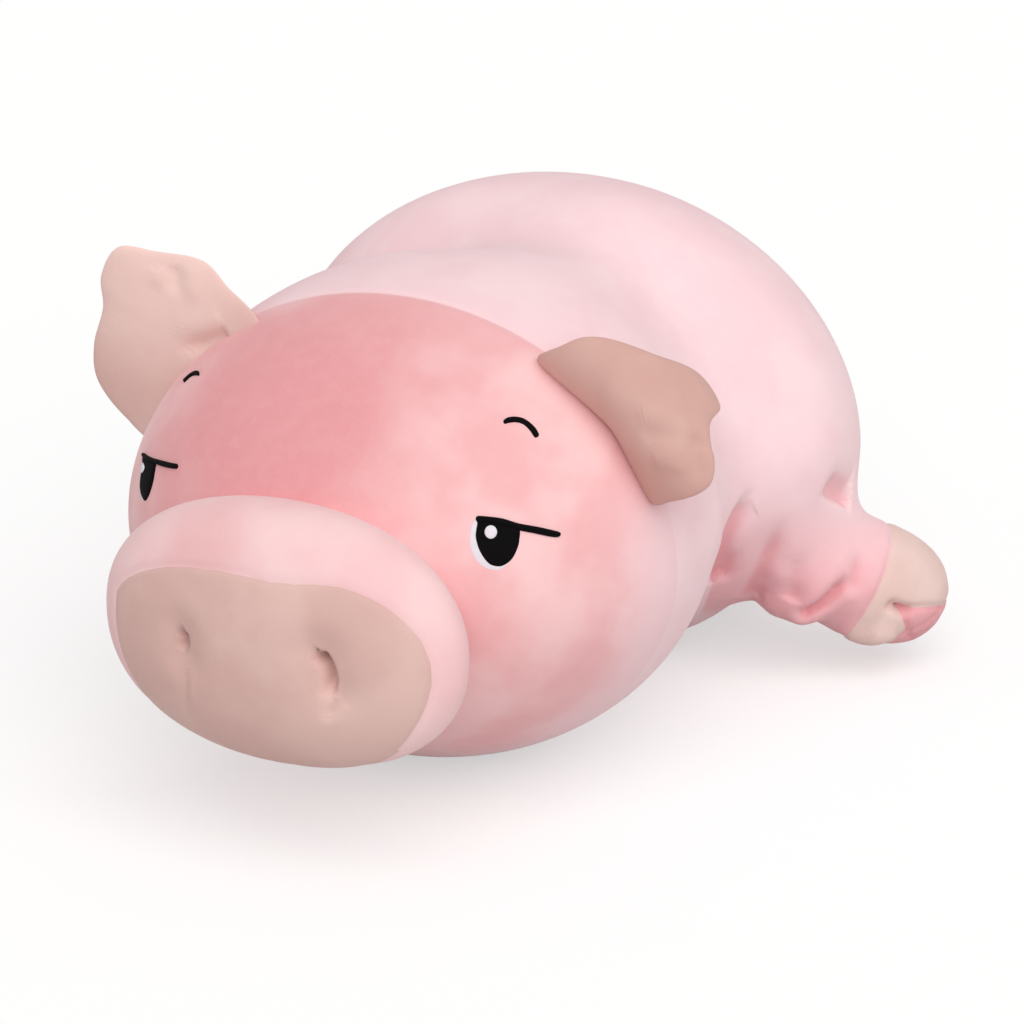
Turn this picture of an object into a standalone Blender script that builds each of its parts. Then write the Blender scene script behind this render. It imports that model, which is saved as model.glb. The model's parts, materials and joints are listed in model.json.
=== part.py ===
"""A lying plush pig: sewn panels over stuffing, with ears, arms, hind legs, a tail and an embroidered face.

The nose points to -Y, +Z is up and the pig's left side is +X. Lengths are in metres. Every stuffed form is a
swollen ball whose wall is the cloth, with the filling as a solid of its own inside it. What is sewn on is cut
by the larger form that it hangs on, and also by that form as the joint at the seam would turn it, so that the
root of each limb and ear is rounded off and can swing.
"""

import math

import bmesh
import bpy
from mathutils import Matrix, Vector

# Cloth, thread and clearances
CLOTH = 0.002
GAP = 0.0003
THREAD_RISE = 0.001
FLOOR_CUT = 0.0005
WELD = 0.00001

# Torso, from its middle: half width, reach ahead and behind, height of its widest line and rise above it
TORSO_WIDE = 0.1846
TORSO_AHEAD = 0.085
TORSO_BEHIND = 0.145
TORSO_WAIST = 0.125
TORSO_RISE = 0.157
TORSO_SAG_SHARE = 1.6
TORSO_SETTLE = 0.008
TORSO_TUCK_SHARE = 1.0

# Head, whose middle lies ahead of the torso's middle
HEAD_WIDE = 0.161
HEAD_AHEAD = 0.1731
HEAD_BEHIND = 0.1206
HEAD_WAIST = 0.1353
HEAD_RISE = 0.1378
HEAD_SAG_SHARE = 1.85
HEAD_EGG_SHARE = -0.19
HEAD_SETTLE = 0.003
NECK_LONG = 0.1464

# The belly and chin are flattened up to this height by their weight
REST_HEIGHT = 0.016

# Snout: a flattened ball on the front of the head, with a beige front set into a pink band
SNOUT_WIDE = 0.1032
SNOUT_DEEP = 0.0414
SNOUT_TALL = 0.0700
SNOUT_STAND = 0.0115
SNOUT_DROP = 0.0105
SNOUT_FACE_WIDE = 0.0915
SNOUT_FACE_TALL = 0.0546
SNOUT_FACE_DROP = 0.0124
NOSTRIL_APART = 0.0405
NOSTRIL_RISE = 0.0052
NOSTRIL_WIDE = 0.0054
NOSTRIL_TALL = 0.013
NOSTRIL_DEEP = 0.013
NOSTRIL_THREAD = 0.0022

# The seam between the face and the crown lies this far ahead of the head's middle
SEAM_AHEAD = 0.0516

# Ear: its two roots as shares of the head's reach from its middle, and the leaf between and beyond them
EAR_TOP_SHARES = (0.5516, -0.3697, 0.812)
EAR_BOTTOM_SHARES = (0.943, -0.380, 0.320)
EAR_LONG = 0.083
EAR_FRONT_PLUMP = 0.0048
EAR_BACK_PLUMP = 0.0032
EAR_ROOT_SHARE = 0.09
EAR_CENTRE_SHARES = (0.5, 0.4)
# Round the leaf from its upper root to its lower root: along the base, and out from it
EAR_OUTLINE_SHARES = (
    (-0.01, 0.27),
    (0.04, 0.47),
    (0.26, 0.71),
    (0.42, 0.93),
    (0.63, 0.89),
    (0.75, 0.70),
    (1.01, 0.53),
    (1.08, 0.41),
    (1.09, 0.19),
    (1.00, -EAR_ROOT_SHARE),
    (0.50, -EAR_ROOT_SHARE),
    (0.00, -EAR_ROOT_SHARE),
)
# How each ear leans back at its root and at its tip, how far it sweeps down, and how it can swing
EARS = {
    "right": {"side": -1, "root": math.radians(12), "tip": math.radians(-20), "sweep_share": -0.10,
              "swing": (math.radians(-25), math.radians(25))},
    "left": {"side": 1, "root": math.radians(-43), "tip": math.radians(108), "sweep_share": 0.22,
             "swing": (math.radians(-35), 0)},
}

# Arm: the middle of its root as shares of the torso's reach, its length, turn and droop, and its girth
ARM = {
    "name": "arm",
    "root_shares": (0.68, -0.065, 0.727),
    "long": 0.134,
    "yaw": math.radians(42.5),
    "droop": math.radians(26.5),
    "thick": 0.0396,
    "seam_share": 0.6,
    "seam_lean": math.radians(17),
    "sole_lean": math.radians(50),
    "swing": math.radians(40),
}

# Hind leg, built as the arm is
LEG = {
    "name": "leg",
    "root_shares": (0.40, 0.52, 0.41),
    "long": 0.128,
    "yaw": math.radians(79),
    "droop": math.radians(5),
    "thick": 0.038,
    "seam_share": 0.69,
    "seam_lean": math.radians(12),
    "sole_lean": math.radians(16),
    "swing": math.radians(35),
}

# What both kinds of limb share: girth at root, middle and hoof, roundness, and the sole under the hoof
LIMB_SWELL_SHARES = (0.96, 0.90, 1.02)
LIMB_ROUND_SHARE = 2.7
LIMB_FLAT_SHARE = 0.97
LIMB_SOLE_SHARE = 0.36

# Tail: a tapering curl whose round root sits on the torso's back
TAIL_RISE = 0.045
TAIL_THICK = 0.007
TAIL_RADIUS = 0.016
TAIL_PITCH = 0.022
TAIL_TURNS = 1.2
TAIL_TIP_SHARE = 0.6
TAIL_ROOT_SHARES = (0.04, 0.2, 0.5, 1.0)
TAIL_END_SHARES = (0.5, 0.85, 0.99)
TAIL_SWING = math.radians(20)

# Eyes: the middle of each lid line as shares of the head's reach, then sizes on the face, from that middle
EYES = {
    "left": {
        "shares": (0.5741, -0.7482, 0.3325),
        "lid": ((-0.0213, 0.0068), (0.0224, -0.0062)),
        "pupil": (-0.0112, -0.0066),
        "brow": ((0.0006, 0.0544), (0.0036, 0.0561), (0.0073, 0.0564), (0.0135, 0.0525), (0.0164, 0.0458)),
    },
    "right": {
        "shares": (-0.5726, -0.7413, 0.3501),
        "lid": ((-0.0285, -0.0045), (0.0200, 0.0034)),
        "pupil": (-0.0100, -0.0125),
        "brow": ((-0.0300, 0.0395), (-0.0285, 0.0450), (-0.0225, 0.0490), (-0.0160, 0.0466)),
    },
}
LID_THICK = 0.0042
LID_END_SHARE = 0.45
LID_STATION_SHARES = (0, 0.06, 0.94, 1)
PUPIL_WIDE = 0.0112
PUPIL_TALL = 0.0137
WHITE_RIM = 0.0024
WHITE_SHIFT = 0.0008
HIGHLIGHT_SIZE = 0.0036
HIGHLIGHT_SHIFT = (-0.0036, 0.0048)
BROW_THICK = 0.0038
STITCH_REACH = 0.03

# Steps along each edge of a form's cube; the fillings take half of them
TORSO_STEPS = 10
HEAD_STEPS = 10
SNOUT_STEPS = 8
LIMB_STEPS = 6
EAR_STEPS = 4
PIT_STEPS = 4
TIE_STEPS = 2
TAIL_STEPS = 12
OUTLINE_STEPS = 4
HINGE_STEPS = 30
SWING_STEPS = 4
DISC_SIDES = 44
OVAL_SIDES = 24
SMOOTH_ANGLE = math.radians(40)

# How far apart two directions lie that give a form's slope
TURN_SHARE = 0.01

PARTS = "plush_pig"
CUTTERS = "cutters"
UP = Vector((0, 0, 1))
BACK = Vector((0, 1, 0))


class Form:
    """A stuffed ball. It holds its middle and how far its cloth reaches to each side of that."""

    def __init__(
        self, middle, wide, ahead, behind, rise, sag, sag_share=2.0, egg_share=0.0, tuck_share=0.0, settle=None
    ):
        self.middle = Vector(middle)
        self.wide = wide
        self.ahead = ahead
        self.behind = behind
        self.rise = rise
        self.sag = sag
        self.sag_share = sag_share
        self.egg_share = egg_share
        self.tuck_share = tuck_share
        self.settle = settle

    def place(self, direction, inset=0):
        """The point of the surface, inset by a wall, that lies in a direction from the middle."""
        power = 2 if direction.z >= 0 else self.sag_share
        across = math.hypot(direction.x, direction.y)
        scale = (across**power + abs(direction.z) ** power) ** (-1 / power)
        x, y, z = direction * scale
        reach = self.ahead if y < 0 else self.behind
        height = self.rise if z >= 0 else self.sag
        point = self.middle + Vector((
            x * (self.wide - inset) * self.narrowed(y, z),
            y * (reach - inset),
            z * (height - inset),
        ))
        if self.settle is not None and point.z < REST_HEIGHT:
            point.z = self.settled(point.z, inset)
        return point

    def narrowed(self, deep, high):
        """The form's width at a depth and height, as a share: egg-shaped, and tucked in low at the front."""
        return (1 + self.egg_share * deep) * (1 - self.tuck_share * min(deep, 0) * min(high, 0))

    def settled(self, height, inset):
        """The height that the form's weight leaves a low point at, down to a flat just below the floor."""
        lowest = inset - self.settle
        floor = inset - FLOOR_CUT
        share = max(height - lowest, 0) / (REST_HEIGHT - lowest)
        return floor + (REST_HEIGHT - floor) * share ** ((REST_HEIGHT - lowest) / (REST_HEIGHT - floor))

    def at(self, shares):
        """The place inside or outside the form that is given as shares of its reach."""
        reach = self.ahead if shares[1] < 0 else self.behind
        height = self.rise if shares[2] >= 0 else self.sag
        return self.middle + Vector((shares[0] * self.wide, shares[1] * reach, shares[2] * height))


class Limb:
    """A stuffed tube with a round tip, which swells at its root and again at its hoof."""

    def __init__(self, sizes, side, torso):
        self.sizes = sizes
        self.side = side
        wide, deep, high = sizes["root_shares"]
        self.root = Vector((
            wide * torso.wide * side,
            torso.middle.y + deep * torso.behind,
            high * torso.middle.z,
        ))
        level = math.cos(sizes["droop"])
        self.along = Vector((
            math.cos(sizes["yaw"]) * level * side,
            math.sin(sizes["yaw"]) * level,
            -math.sin(sizes["droop"]),
        ))
        self.across = UP.cross(self.along).normalized()
        self.up = self.along.cross(self.across)
        self.tip = self.root + self.along * sizes["long"]

    def place(self, direction, inset=0):
        power = LIMB_ROUND_SHARE
        across = math.hypot(direction.x, direction.y)
        scale = (across**power + abs(direction.z) ** power) ** (-1 / power)
        share = (scale * direction.z + 1) / 2
        root, middle, hoof = LIMB_SWELL_SHARES
        swell = root * (1 - share) ** 2 + 2 * middle * share * (1 - share) + hoof * share**2
        girth = self.sizes["thick"] * swell - inset
        half_long = self.sizes["long"] / 2 - inset
        return (
            (self.root + self.tip) / 2
            + self.along * (scale * direction.z * half_long)
            + self.across * (scale * direction.x * girth)
            + self.up * (scale * direction.y * (girth * LIMB_FLAT_SHARE))
        )


def torso_form(torso_y=0):
    return Form(
        (0, torso_y, TORSO_WAIST), TORSO_WIDE, TORSO_AHEAD, TORSO_BEHIND, TORSO_RISE,
        TORSO_WAIST + TORSO_SETTLE, TORSO_SAG_SHARE, tuck_share=TORSO_TUCK_SHARE, settle=TORSO_SETTLE,
    )


def head_form(torso_y=0):
    return Form(
        (0, torso_y - NECK_LONG, HEAD_WAIST), HEAD_WIDE, HEAD_AHEAD, HEAD_BEHIND, HEAD_RISE,
        HEAD_WAIST + HEAD_SETTLE, HEAD_SAG_SHARE, HEAD_EGG_SHARE, settle=HEAD_SETTLE,
    )


def snout_form(torso_y=0):
    middle = (0, torso_y - NECK_LONG - HEAD_AHEAD - SNOUT_STAND, HEAD_WAIST - SNOUT_DROP)
    return Form(middle, SNOUT_WIDE, SNOUT_DEEP, SNOUT_DEEP, SNOUT_TALL, SNOUT_TALL)


def round_cube(steps):
    """A cube whose faces are divided evenly as seen from its middle, blown up to a unit ball."""
    bm = bmesh.new()
    bmesh.ops.create_cube(bm, size=2)
    bmesh.ops.subdivide_edges(bm, edges=bm.edges[:], cuts=steps - 1, use_grid_fill=True)
    for vertex in bm.verts:
        spread = [math.tan(part * math.pi / 4) for part in vertex.co]
        vertex.co = Vector(spread).normalized()
    return bm


def middle_of_length():
    """Where the torso's middle lies so that the snout and the hind hooves reach equally far from the origin."""
    torso, snout = torso_form(), snout_form()
    leg = Limb(LEG, 1, torso)
    ball = round_cube(LIMB_STEPS)
    behind = max(leg.place(vertex.co.copy()).y for vertex in ball.verts)
    ball.free()
    ahead = snout.middle.y - SNOUT_DEEP
    return -(ahead + behind) / 2


def clear_scene():
    """Removes what a new file holds and makes the two collections."""
    for thing in list(bpy.data.objects):
        bpy.data.objects.remove(thing)
    for name in (PARTS, CUTTERS):
        group = bpy.data.collections.new(name)
        bpy.context.scene.collection.children.link(group)


def cloth_material(name, colour, roughness):
    """A matt cloth or thread of one colour."""
    material = bpy.data.materials.new(name)
    material.use_nodes = True
    shader = material.node_tree.nodes["Principled BSDF"]
    shader.inputs["Base Color"].default_value = (*colour, 1)
    shader.inputs["Roughness"].default_value = roughness
    shader.inputs["Metallic"].default_value = 0
    material.diffuse_color = (*colour, 1)
    return material


def make_paints():
    """The cloths and threads, in linear colour."""
    return {
        "pale_pink": cloth_material("pale_pink_plush", (0.93, 0.66, 0.70), 0.9),
        "deep_pink": cloth_material("deep_pink_plush", (0.83, 0.42, 0.44), 0.9),
        "beige": cloth_material("beige_plush", (0.68, 0.44, 0.38), 0.9),
        "filling": cloth_material("white_filling", (0.86, 0.86, 0.84), 0.95),
        "black_thread": cloth_material("black_thread", (0.008, 0.007, 0.007), 0.6),
        "white_thread": cloth_material("white_thread", (0.90, 0.88, 0.93), 0.6),
        "beige_thread": cloth_material("beige_thread", (0.45, 0.28, 0.24), 0.7),
    }


def finish_mesh(name, bm):
    """Turns a bmesh into a smooth-shaded mesh whose faces point outwards."""
    bmesh.ops.recalc_face_normals(bm, faces=bm.faces)
    if bm.calc_volume(signed=True) < 0:
        bmesh.ops.reverse_faces(bm, faces=bm.faces)
    mesh = bpy.data.meshes.new(name)
    bm.to_mesh(mesh)
    bm.free()
    mesh.shade_smooth()
    mesh.set_sharp_from_angle(angle=SMOOTH_ANGLE)
    return mesh


def shaped_ball(name, steps, place):
    """A ball whose every point is put where place(direction) says, in triangles that lie alike at every inset."""
    bm = round_cube(steps)
    bmesh.ops.triangulate(bm, faces=bm.faces, quad_method="FIXED")
    for vertex in bm.verts:
        vertex.co = place(vertex.co.copy())
    return finish_mesh(name, bm)


def add_part(name, mesh, material):
    """A node of the pig: a mesh of one material."""
    mesh.materials.append(material)
    thing = bpy.data.objects.new(name, mesh)
    bpy.data.collections[PARTS].objects.link(thing)
    return thing


def add_cutter(name, mesh):
    thing = bpy.data.objects.new(name, mesh)
    thing.hide_render = True
    thing.display_type = "WIRE"
    bpy.data.collections[CUTTERS].objects.link(thing)
    return thing


def boolean(thing, operation, cutters):
    for cutter in cutters:
        modifier = thing.modifiers.new(cutter.name, "BOOLEAN")
        modifier.operation = operation
        modifier.solver = "EXACT"
        modifier.object = cutter
    return thing


def cut(thing, *cutters):
    """Takes the cutters away from a piece."""
    return boolean(thing, "DIFFERENCE", cutters)


def keep(thing, *cutters):
    """Keeps what of a piece lies inside every cutter."""
    return boolean(thing, "INTERSECT", cutters)


def form_part(name, form, steps, material, inset=0):
    return add_part(name, shaped_ball(name, steps, lambda d: form.place(d, inset)), material)


def form_cutter(name, form, steps, inset):
    return add_cutter(name, shaped_ball(name, steps, lambda d: form.place(d, inset)))


def half_space(name, point, normal, reach):
    """A large block whose one face passes through point and faces along normal; the block lies behind it."""
    way = Vector(normal).normalized()
    bm = bmesh.new()
    bmesh.ops.create_cube(bm, size=2)
    bmesh.ops.scale(bm, vec=(reach, reach, reach), verts=bm.verts)
    bmesh.ops.rotate(bm, cent=(0, 0, 0), matrix=way.to_track_quat("Z", "Y").to_matrix(), verts=bm.verts)
    bmesh.ops.translate(bm, vec=Vector(point) - way * reach, verts=bm.verts)
    return add_cutter(name, finish_mesh(name, bm))


def add_drum(name, middle, half_wide, half_tall, half_deep):
    """An upright elliptical drum that faces the nose."""
    bm = bmesh.new()
    bmesh.ops.create_cone(bm, cap_ends=True, segments=DISC_SIDES, radius1=1, radius2=1, depth=2)
    bmesh.ops.rotate(bm, cent=(0, 0, 0), matrix=Matrix.Rotation(math.pi / 2, 3, "X"), verts=bm.verts)
    bmesh.ops.scale(bm, vec=(half_wide, half_deep, half_tall), verts=bm.verts)
    bmesh.ops.translate(bm, vec=middle, verts=bm.verts)
    return add_cutter(name, finish_mesh(name, bm))


def swung(name, cutter, pivot, axis, angle):
    """A copy of a cutter, turned about a seam against the way that the piece on the seam swings."""
    copy = add_cutter(name, cutter.data)
    turn = Matrix.Rotation(-angle, 4, axis)
    copy.matrix_world = Matrix.Translation(pivot) @ turn @ Matrix.Translation(-Vector(pivot))
    return copy


def body_shapes(torso_y):
    """The three main forms and the cutters that their neighbours share."""
    torso, head, snout = torso_form(torso_y), head_form(torso_y), snout_form(torso_y)
    return {
        "torso": torso,
        "head": head,
        "snout": snout,
        "reach": TORSO_WIDE + TORSO_RISE + NECK_LONG,
        "floor": half_space("floor_cut", (0, 0, 0), UP, TORSO_WIDE + TORSO_RISE + NECK_LONG),
        "torso_grown": form_cutter("torso_grown", torso, TORSO_STEPS, -GAP),
        "torso_inside": form_cutter("torso_inside", torso, TORSO_STEPS // 2, CLOTH),
        "head_grown": form_cutter("head_grown", head, HEAD_STEPS, -GAP),
        "head_inside": form_cutter("head_inside", head, HEAD_STEPS // 2, CLOTH),
        "snout_inside": form_cutter("snout_inside", snout, SNOUT_STEPS // 2, CLOTH),
    }


def make_torso(shapes, paint):
    """The torso's cover, open at the neck, and its filling."""
    skin = form_part("torso_skin", shapes["torso"], TORSO_STEPS, paint["pale_pink"])
    cut(skin, shapes["torso_inside"], shapes["head_inside"], shapes["floor"])
    form_part("torso_stuffing", shapes["torso"], TORSO_STEPS // 2, paint["filling"], CLOTH + GAP)


def make_head(shapes, paint):
    """The face and crown panels with the seam between them, and the filling."""
    head = shapes["head"]
    seam = head.middle - Vector((0, SEAM_AHEAD, 0))
    behind = half_space("behind_seam", seam - BACK * GAP / 2, -BACK, shapes["reach"])
    before = half_space("before_seam", seam + BACK * GAP / 2, BACK, shapes["reach"])
    face = form_part("face_panel", head, HEAD_STEPS, paint["deep_pink"])
    cut(face, shapes["head_inside"], behind, shapes["torso_grown"], shapes["floor"], shapes["snout_inside"])
    crown = form_part("crown_panel", head, HEAD_STEPS, paint["pale_pink"])
    cut(crown, shapes["head_inside"], before, shapes["torso_grown"], shapes["floor"])
    fill = form_part("head_stuffing", head, HEAD_STEPS // 2, paint["filling"], CLOTH + GAP)
    cut(fill, shapes["torso_grown"])


def nostril_front(snout, side, deep):
    """A point of a nostril: on the cloth of the snout, or deeper in."""
    ahead = math.sqrt(1 - (NOSTRIL_APART / snout.wide) ** 2 - (NOSTRIL_RISE / snout.rise) ** 2)
    return snout.middle + Vector((NOSTRIL_APART * side, deep - snout.ahead * ahead, NOSTRIL_RISE))


def nostril_ball(name, middle, half, steps):
    return shaped_ball(name, steps, lambda d: middle + Vector([d[k] * half[k] for k in range(3)]))


def add_pit(name, snout, side, grow):
    """The hollow that a nostril's tie pulls into the snout, grown by the walls that line it."""
    half = (NOSTRIL_WIDE + grow, NOSTRIL_DEEP + grow, NOSTRIL_TALL + grow)
    return add_cutter(name, nostril_ball(name, nostril_front(snout, side, 0), half, PIT_STEPS))


def make_snout(shapes, paint):
    """The pink band, the beige front with its two drawn-in nostrils, the ties and the filling."""
    snout = shapes["snout"]
    front = snout.middle - BACK * SNOUT_DEEP - UP * SNOUT_FACE_DROP
    outer = add_drum("front_seam_outer", front, SNOUT_FACE_WIDE, SNOUT_FACE_TALL, SNOUT_DEEP)
    inner = add_drum("front_seam_inner", front, SNOUT_FACE_WIDE - GAP, SNOUT_FACE_TALL - GAP, SNOUT_DEEP)
    hollow = form_cutter("snout_hollow", snout, SNOUT_STEPS // 2, CLOTH)
    filled, opened = [], []
    for word, side in (("right", -1), ("left", 1)):
        opened.append(add_pit(f"pit_{word}", snout, side, 0))
        cut(hollow, add_pit(f"pit_lined_{word}", snout, side, CLOTH))
        filled.append(add_pit(f"pit_filled_{word}", snout, side, CLOTH + GAP))
        tie_in = nostril_front(snout, side, NOSTRIL_DEEP - NOSTRIL_THREAD - GAP * 2)
        tie = nostril_ball(f"tie_{word}", tie_in, (NOSTRIL_THREAD / 2, NOSTRIL_THREAD, NOSTRIL_THREAD * 2), TIE_STEPS)
        add_part(f"nostril_thread_{word}", tie, paint["beige_thread"])

    band = form_part("snout_gusset", snout, SNOUT_STEPS, paint["pale_pink"])
    cut(band, shapes["snout_inside"], outer, shapes["head_grown"])
    face = form_part("snout_face", snout, SNOUT_STEPS, paint["beige"])
    keep(cut(face, *opened, hollow), inner)
    fill = form_part("snout_stuffing", snout, SNOUT_STEPS // 2, paint["filling"], CLOTH + GAP)
    cut(fill, *filled, shapes["head_grown"])


def smooth_line(points, steps, closed=False):
    """A smooth path through a few points."""
    count = len(points)
    found = []
    for number in range(count if closed else count - 1):
        around = [number + shift for shift in (-1, 0, 1, 2)]
        picked = [index % count if closed else min(max(index, 0), count - 1) for index in around]
        a, b, c, d = (Vector(points[index]) for index in picked)
        for step in range(steps):
            t = step / steps
            bend = (2 * a - 5 * b + 4 * c - d) * t**2 + (3 * b - a - 3 * c + d) * t**3
            found.append((2 * b + (c - a) * t + bend) / 2)
    return found if closed else found + [Vector(points[-1])]


def outline_reach(way, outline):
    """How far a closed outline lies from the origin in the direction of way."""
    best = 0
    for first, second in zip(outline, outline[1:] + outline[:1]):
        edge = second - first
        turn = way.x * edge.y - way.y * edge.x
        if not turn:
            continue
        along = (first.x * way.y - first.y * way.x) / turn
        if 0 <= along <= 1:
            best = max(best, (first.x * edge.y - first.y * edge.x) / turn)
    return best


def ear_root(head, side):
    """The upper root of an ear, its base from there to the lower root, and the way out between them."""
    top = head.at((EAR_TOP_SHARES[0] * side, *EAR_TOP_SHARES[1:]))
    base = head.at((EAR_BOTTOM_SHARES[0] * side, *EAR_BOTTOM_SHARES[1:])) - top
    out = base.cross(BACK).normalized() * side
    return top, base, out


def ear_hinge(head, side):
    """The seam that an ear swings about: along its base, where the head bulges between its roots."""
    top, base, out = ear_root(head, side)
    pivot = head.place(unit_way(head, top + base / 2))
    return pivot, base.normalized()


def unit_way(form, point):
    """The direction on the unit ball that leads to a point of space."""
    offset = point - form.middle
    deep = offset.y / (form.ahead if offset.y < 0 else form.behind)
    high = offset.z / (form.rise if offset.z >= 0 else form.sag)
    return Vector((offset.x / (form.wide * form.narrowed(deep, high)), deep, high)).normalized()


def ear_half(name, head, ear, plump, front):
    """One side of the leaf: flat where it meets the other side, and swollen on its own."""
    top, base, out = ear_root(head, ear["side"])
    centre = Vector(EAR_CENTRE_SHARES)
    outline = [point - centre for point in smooth_line(EAR_OUTLINE_SHARES, OUTLINE_STEPS, closed=True)]
    turn = ear["tip"] - ear["root"]

    def place(d):
        plan = math.hypot(d.x, d.y)
        spot = centre
        if plan:
            way = Vector((d.x, d.y)) / plan
            spot = centre + way * (outline_reach(way, outline) * plan)
        lean = ear["root"] + turn * spot.y
        away = EAR_LONG * (math.sin(lean) - math.sin(ear["root"])) / turn
        back = EAR_LONG * (math.cos(ear["root"]) - math.cos(lean)) / turn
        swell = GAP / 2 + plump * max(d.z, 0)
        facing = base.cross(out * math.cos(lean) + BACK * math.sin(lean)).normalized() * ear["side"]
        sweep = ear["sweep_share"] * max(spot.y, 0) ** 2
        return top + base * (spot.x + sweep) + out * away + BACK * back + facing * (swell if front else -swell)

    return shaped_ball(name, EAR_STEPS, place)


def make_ears(shapes, paint):
    """Two leaf-shaped ears, each a beige front on a thin pink back, rounded off where they meet the head."""
    head = shapes["head"]
    for word, ear in EARS.items():
        pivot, axis = ear_hinge(head, ear["side"])
        low, high = ear["swing"]
        angles = [low + (high - low) * number / SWING_STEPS for number in range(SWING_STEPS + 1)]
        swings = [
            swung(f"head_swung_{word}_{number}", shapes["head_grown"], pivot, axis, angle)
            for number, angle in enumerate(angles)
            if angle
        ]
        for half, plump, colour in (
            ("front", EAR_FRONT_PLUMP, "beige"),
            ("back", EAR_BACK_PLUMP, "deep_pink"),
        ):
            name = f"ear_{word}_{half}"
            thing = add_part(name, ear_half(name, head, ear, plump, half == "front"), paint[colour])
            cut(thing, shapes["head_grown"], *swings)


def limb_hinge(limb, torso):
    """The seam that a limb lifts about: level, across the top of its root on the torso."""
    middle = (limb.root + limb.tip) / 2
    top = limb.up * limb.sizes["thick"]
    inside, outside = limb.root + top, limb.tip + top
    for _ in range(HINGE_STEPS):
        middle = (inside + outside) / 2
        surface = torso.place(unit_way(torso, middle))
        if (surface - torso.middle).length > (middle - torso.middle).length:
            inside = middle
        else:
            outside = middle
    return middle, limb.along.cross(UP).normalized()


def make_limb(word, sizes, side, shapes, paint):
    """A sleeve, a beige hoof, a pink sole and the filling, cut where they meet the torso."""
    name = f"{sizes['name']}_{word}"
    limb = Limb(sizes, side, shapes["torso"])
    thick = sizes["thick"]
    seam = limb.root.lerp(limb.tip, sizes["seam_share"])
    seam_lean = sizes["seam_lean"]
    lean = limb.along * math.cos(seam_lean) - limb.across * (side * math.sin(seam_lean))
    sole = limb.tip - limb.along * thick - limb.up * (thick * (1 - LIMB_SOLE_SHARE))
    sole_up = limb.up * math.cos(sizes["sole_lean"]) - limb.along * math.sin(sizes["sole_lean"])

    inside = form_cutter(f"{name}_inside", limb, LIMB_STEPS // 2, CLOTH)
    beyond = half_space(f"{name}_beyond_seam", seam - lean * GAP / 2, -lean, shapes["reach"])
    before = half_space(f"{name}_before_seam", seam + lean * GAP / 2, lean, shapes["reach"])
    below = half_space(f"{name}_below_sole", sole + sole_up * GAP / 2, sole_up, shapes["reach"])
    above = half_space(f"{name}_above_sole", sole - sole_up * GAP / 2, -sole_up, shapes["reach"])
    pivot, axis = limb_hinge(limb, shapes["torso"])
    lifted = swung(f"{name}_torso_swung", shapes["torso_grown"], pivot, axis, sizes["swing"])

    sleeve = form_part(f"{name}_sleeve", limb, LIMB_STEPS, paint["pale_pink"])
    cut(sleeve, inside, beyond, shapes["torso_grown"], lifted)
    hoof = form_part(f"{name}_hoof", limb, LIMB_STEPS, paint["beige"])
    cut(hoof, inside, before, below)
    patch = form_part(f"{name}_sole", limb, LIMB_STEPS, paint["deep_pink"])
    cut(patch, inside, before, above)
    fill = form_part(f"{name}_stuffing", limb, LIMB_STEPS // 2, paint["filling"], CLOTH + GAP)
    cut(fill, shapes["torso_grown"], lifted)


def tail_root(torso):
    """Where the tail meets the torso's back, and the way out of the cloth there."""
    rise = TAIL_RISE / torso.rise
    spot = torso.place(Vector((0, math.sqrt(1 - rise**2), rise)))
    out = Vector((0, (spot.y - torso.middle.y) / torso.behind**2, (spot.z - torso.middle.z) / torso.rise**2))
    return spot, out.normalized()


def tail_stations(torso):
    """Points along the tail with their girths: a round root, a tapering curl and a round tip."""
    spot, out = tail_root(torso)
    found = []
    for share in TAIL_ROOT_SHARES:
        away = share * TAIL_THICK
        found.append((spot + out * (away + GAP), math.sqrt(1 - (1 - share) ** 2)))
    stem = found[-1][0]
    steps = round(TAIL_STEPS * TAIL_TURNS)
    for number in range(1, steps + 1):
        share = number / steps
        turn = share * TAIL_TURNS * math.tau
        side = Vector((TAIL_RADIUS * math.sin(turn), 0, TAIL_RADIUS * (1 - math.cos(turn))))
        found.append((stem + side + BACK * (TAIL_PITCH * TAIL_TURNS * share), 1 - (1 - TAIL_TIP_SHARE) * share))
    end, girth = found[-1]
    way = (end - found[-2][0]).normalized()
    for share in TAIL_END_SHARES:
        found.append((end + way * (TAIL_THICK * girth * share), girth * math.sqrt(1 - share**2)))
    return found


def make_tail(shapes, paint):
    """The tail as one tube along its stations."""
    stations = tail_stations(shapes["torso"])
    curve = bpy.data.curves.new("tail_curve", "CURVE")
    curve.dimensions = "3D"
    curve.bevel_depth = TAIL_THICK
    curve.bevel_resolution = 2
    curve.use_fill_caps = True
    spline = curve.splines.new("POLY")
    spline.points.add(len(stations) - 1)
    for point, (place, girth) in zip(spline.points, stations):
        point.co = (*place, 1)
        point.radius = girth
    thing = add_cutter("tail_curve", curve)
    bpy.context.view_layer.update()
    shaped = bpy.data.meshes.new_from_object(thing.evaluated_get(bpy.context.evaluated_depsgraph_get()))
    bm = bmesh.new()
    bm.from_mesh(shaped)
    bmesh.ops.remove_doubles(bm, verts=bm.verts, dist=WELD)
    bpy.data.objects.remove(thing)
    bpy.data.meshes.remove(shaped)
    add_part("tail", finish_mesh("tail", bm), paint["pale_pink"])


def eye_frame(head, shares):
    """Axes on the head at an eye: to the viewer's right, up along the head, and out of it."""
    way = Vector(shares).normalized()
    point = head.place(way)
    side = UP.cross(way).normalized() * TURN_SHARE
    rise = way.cross(side).normalized() * TURN_SHARE
    first = head.place((way + side).normalized()) - point
    second = head.place((way + rise).normalized()) - point
    out = first.cross(second).normalized()
    right = UP.cross(out).normalized()
    return point, right, out.cross(right), out


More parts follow.
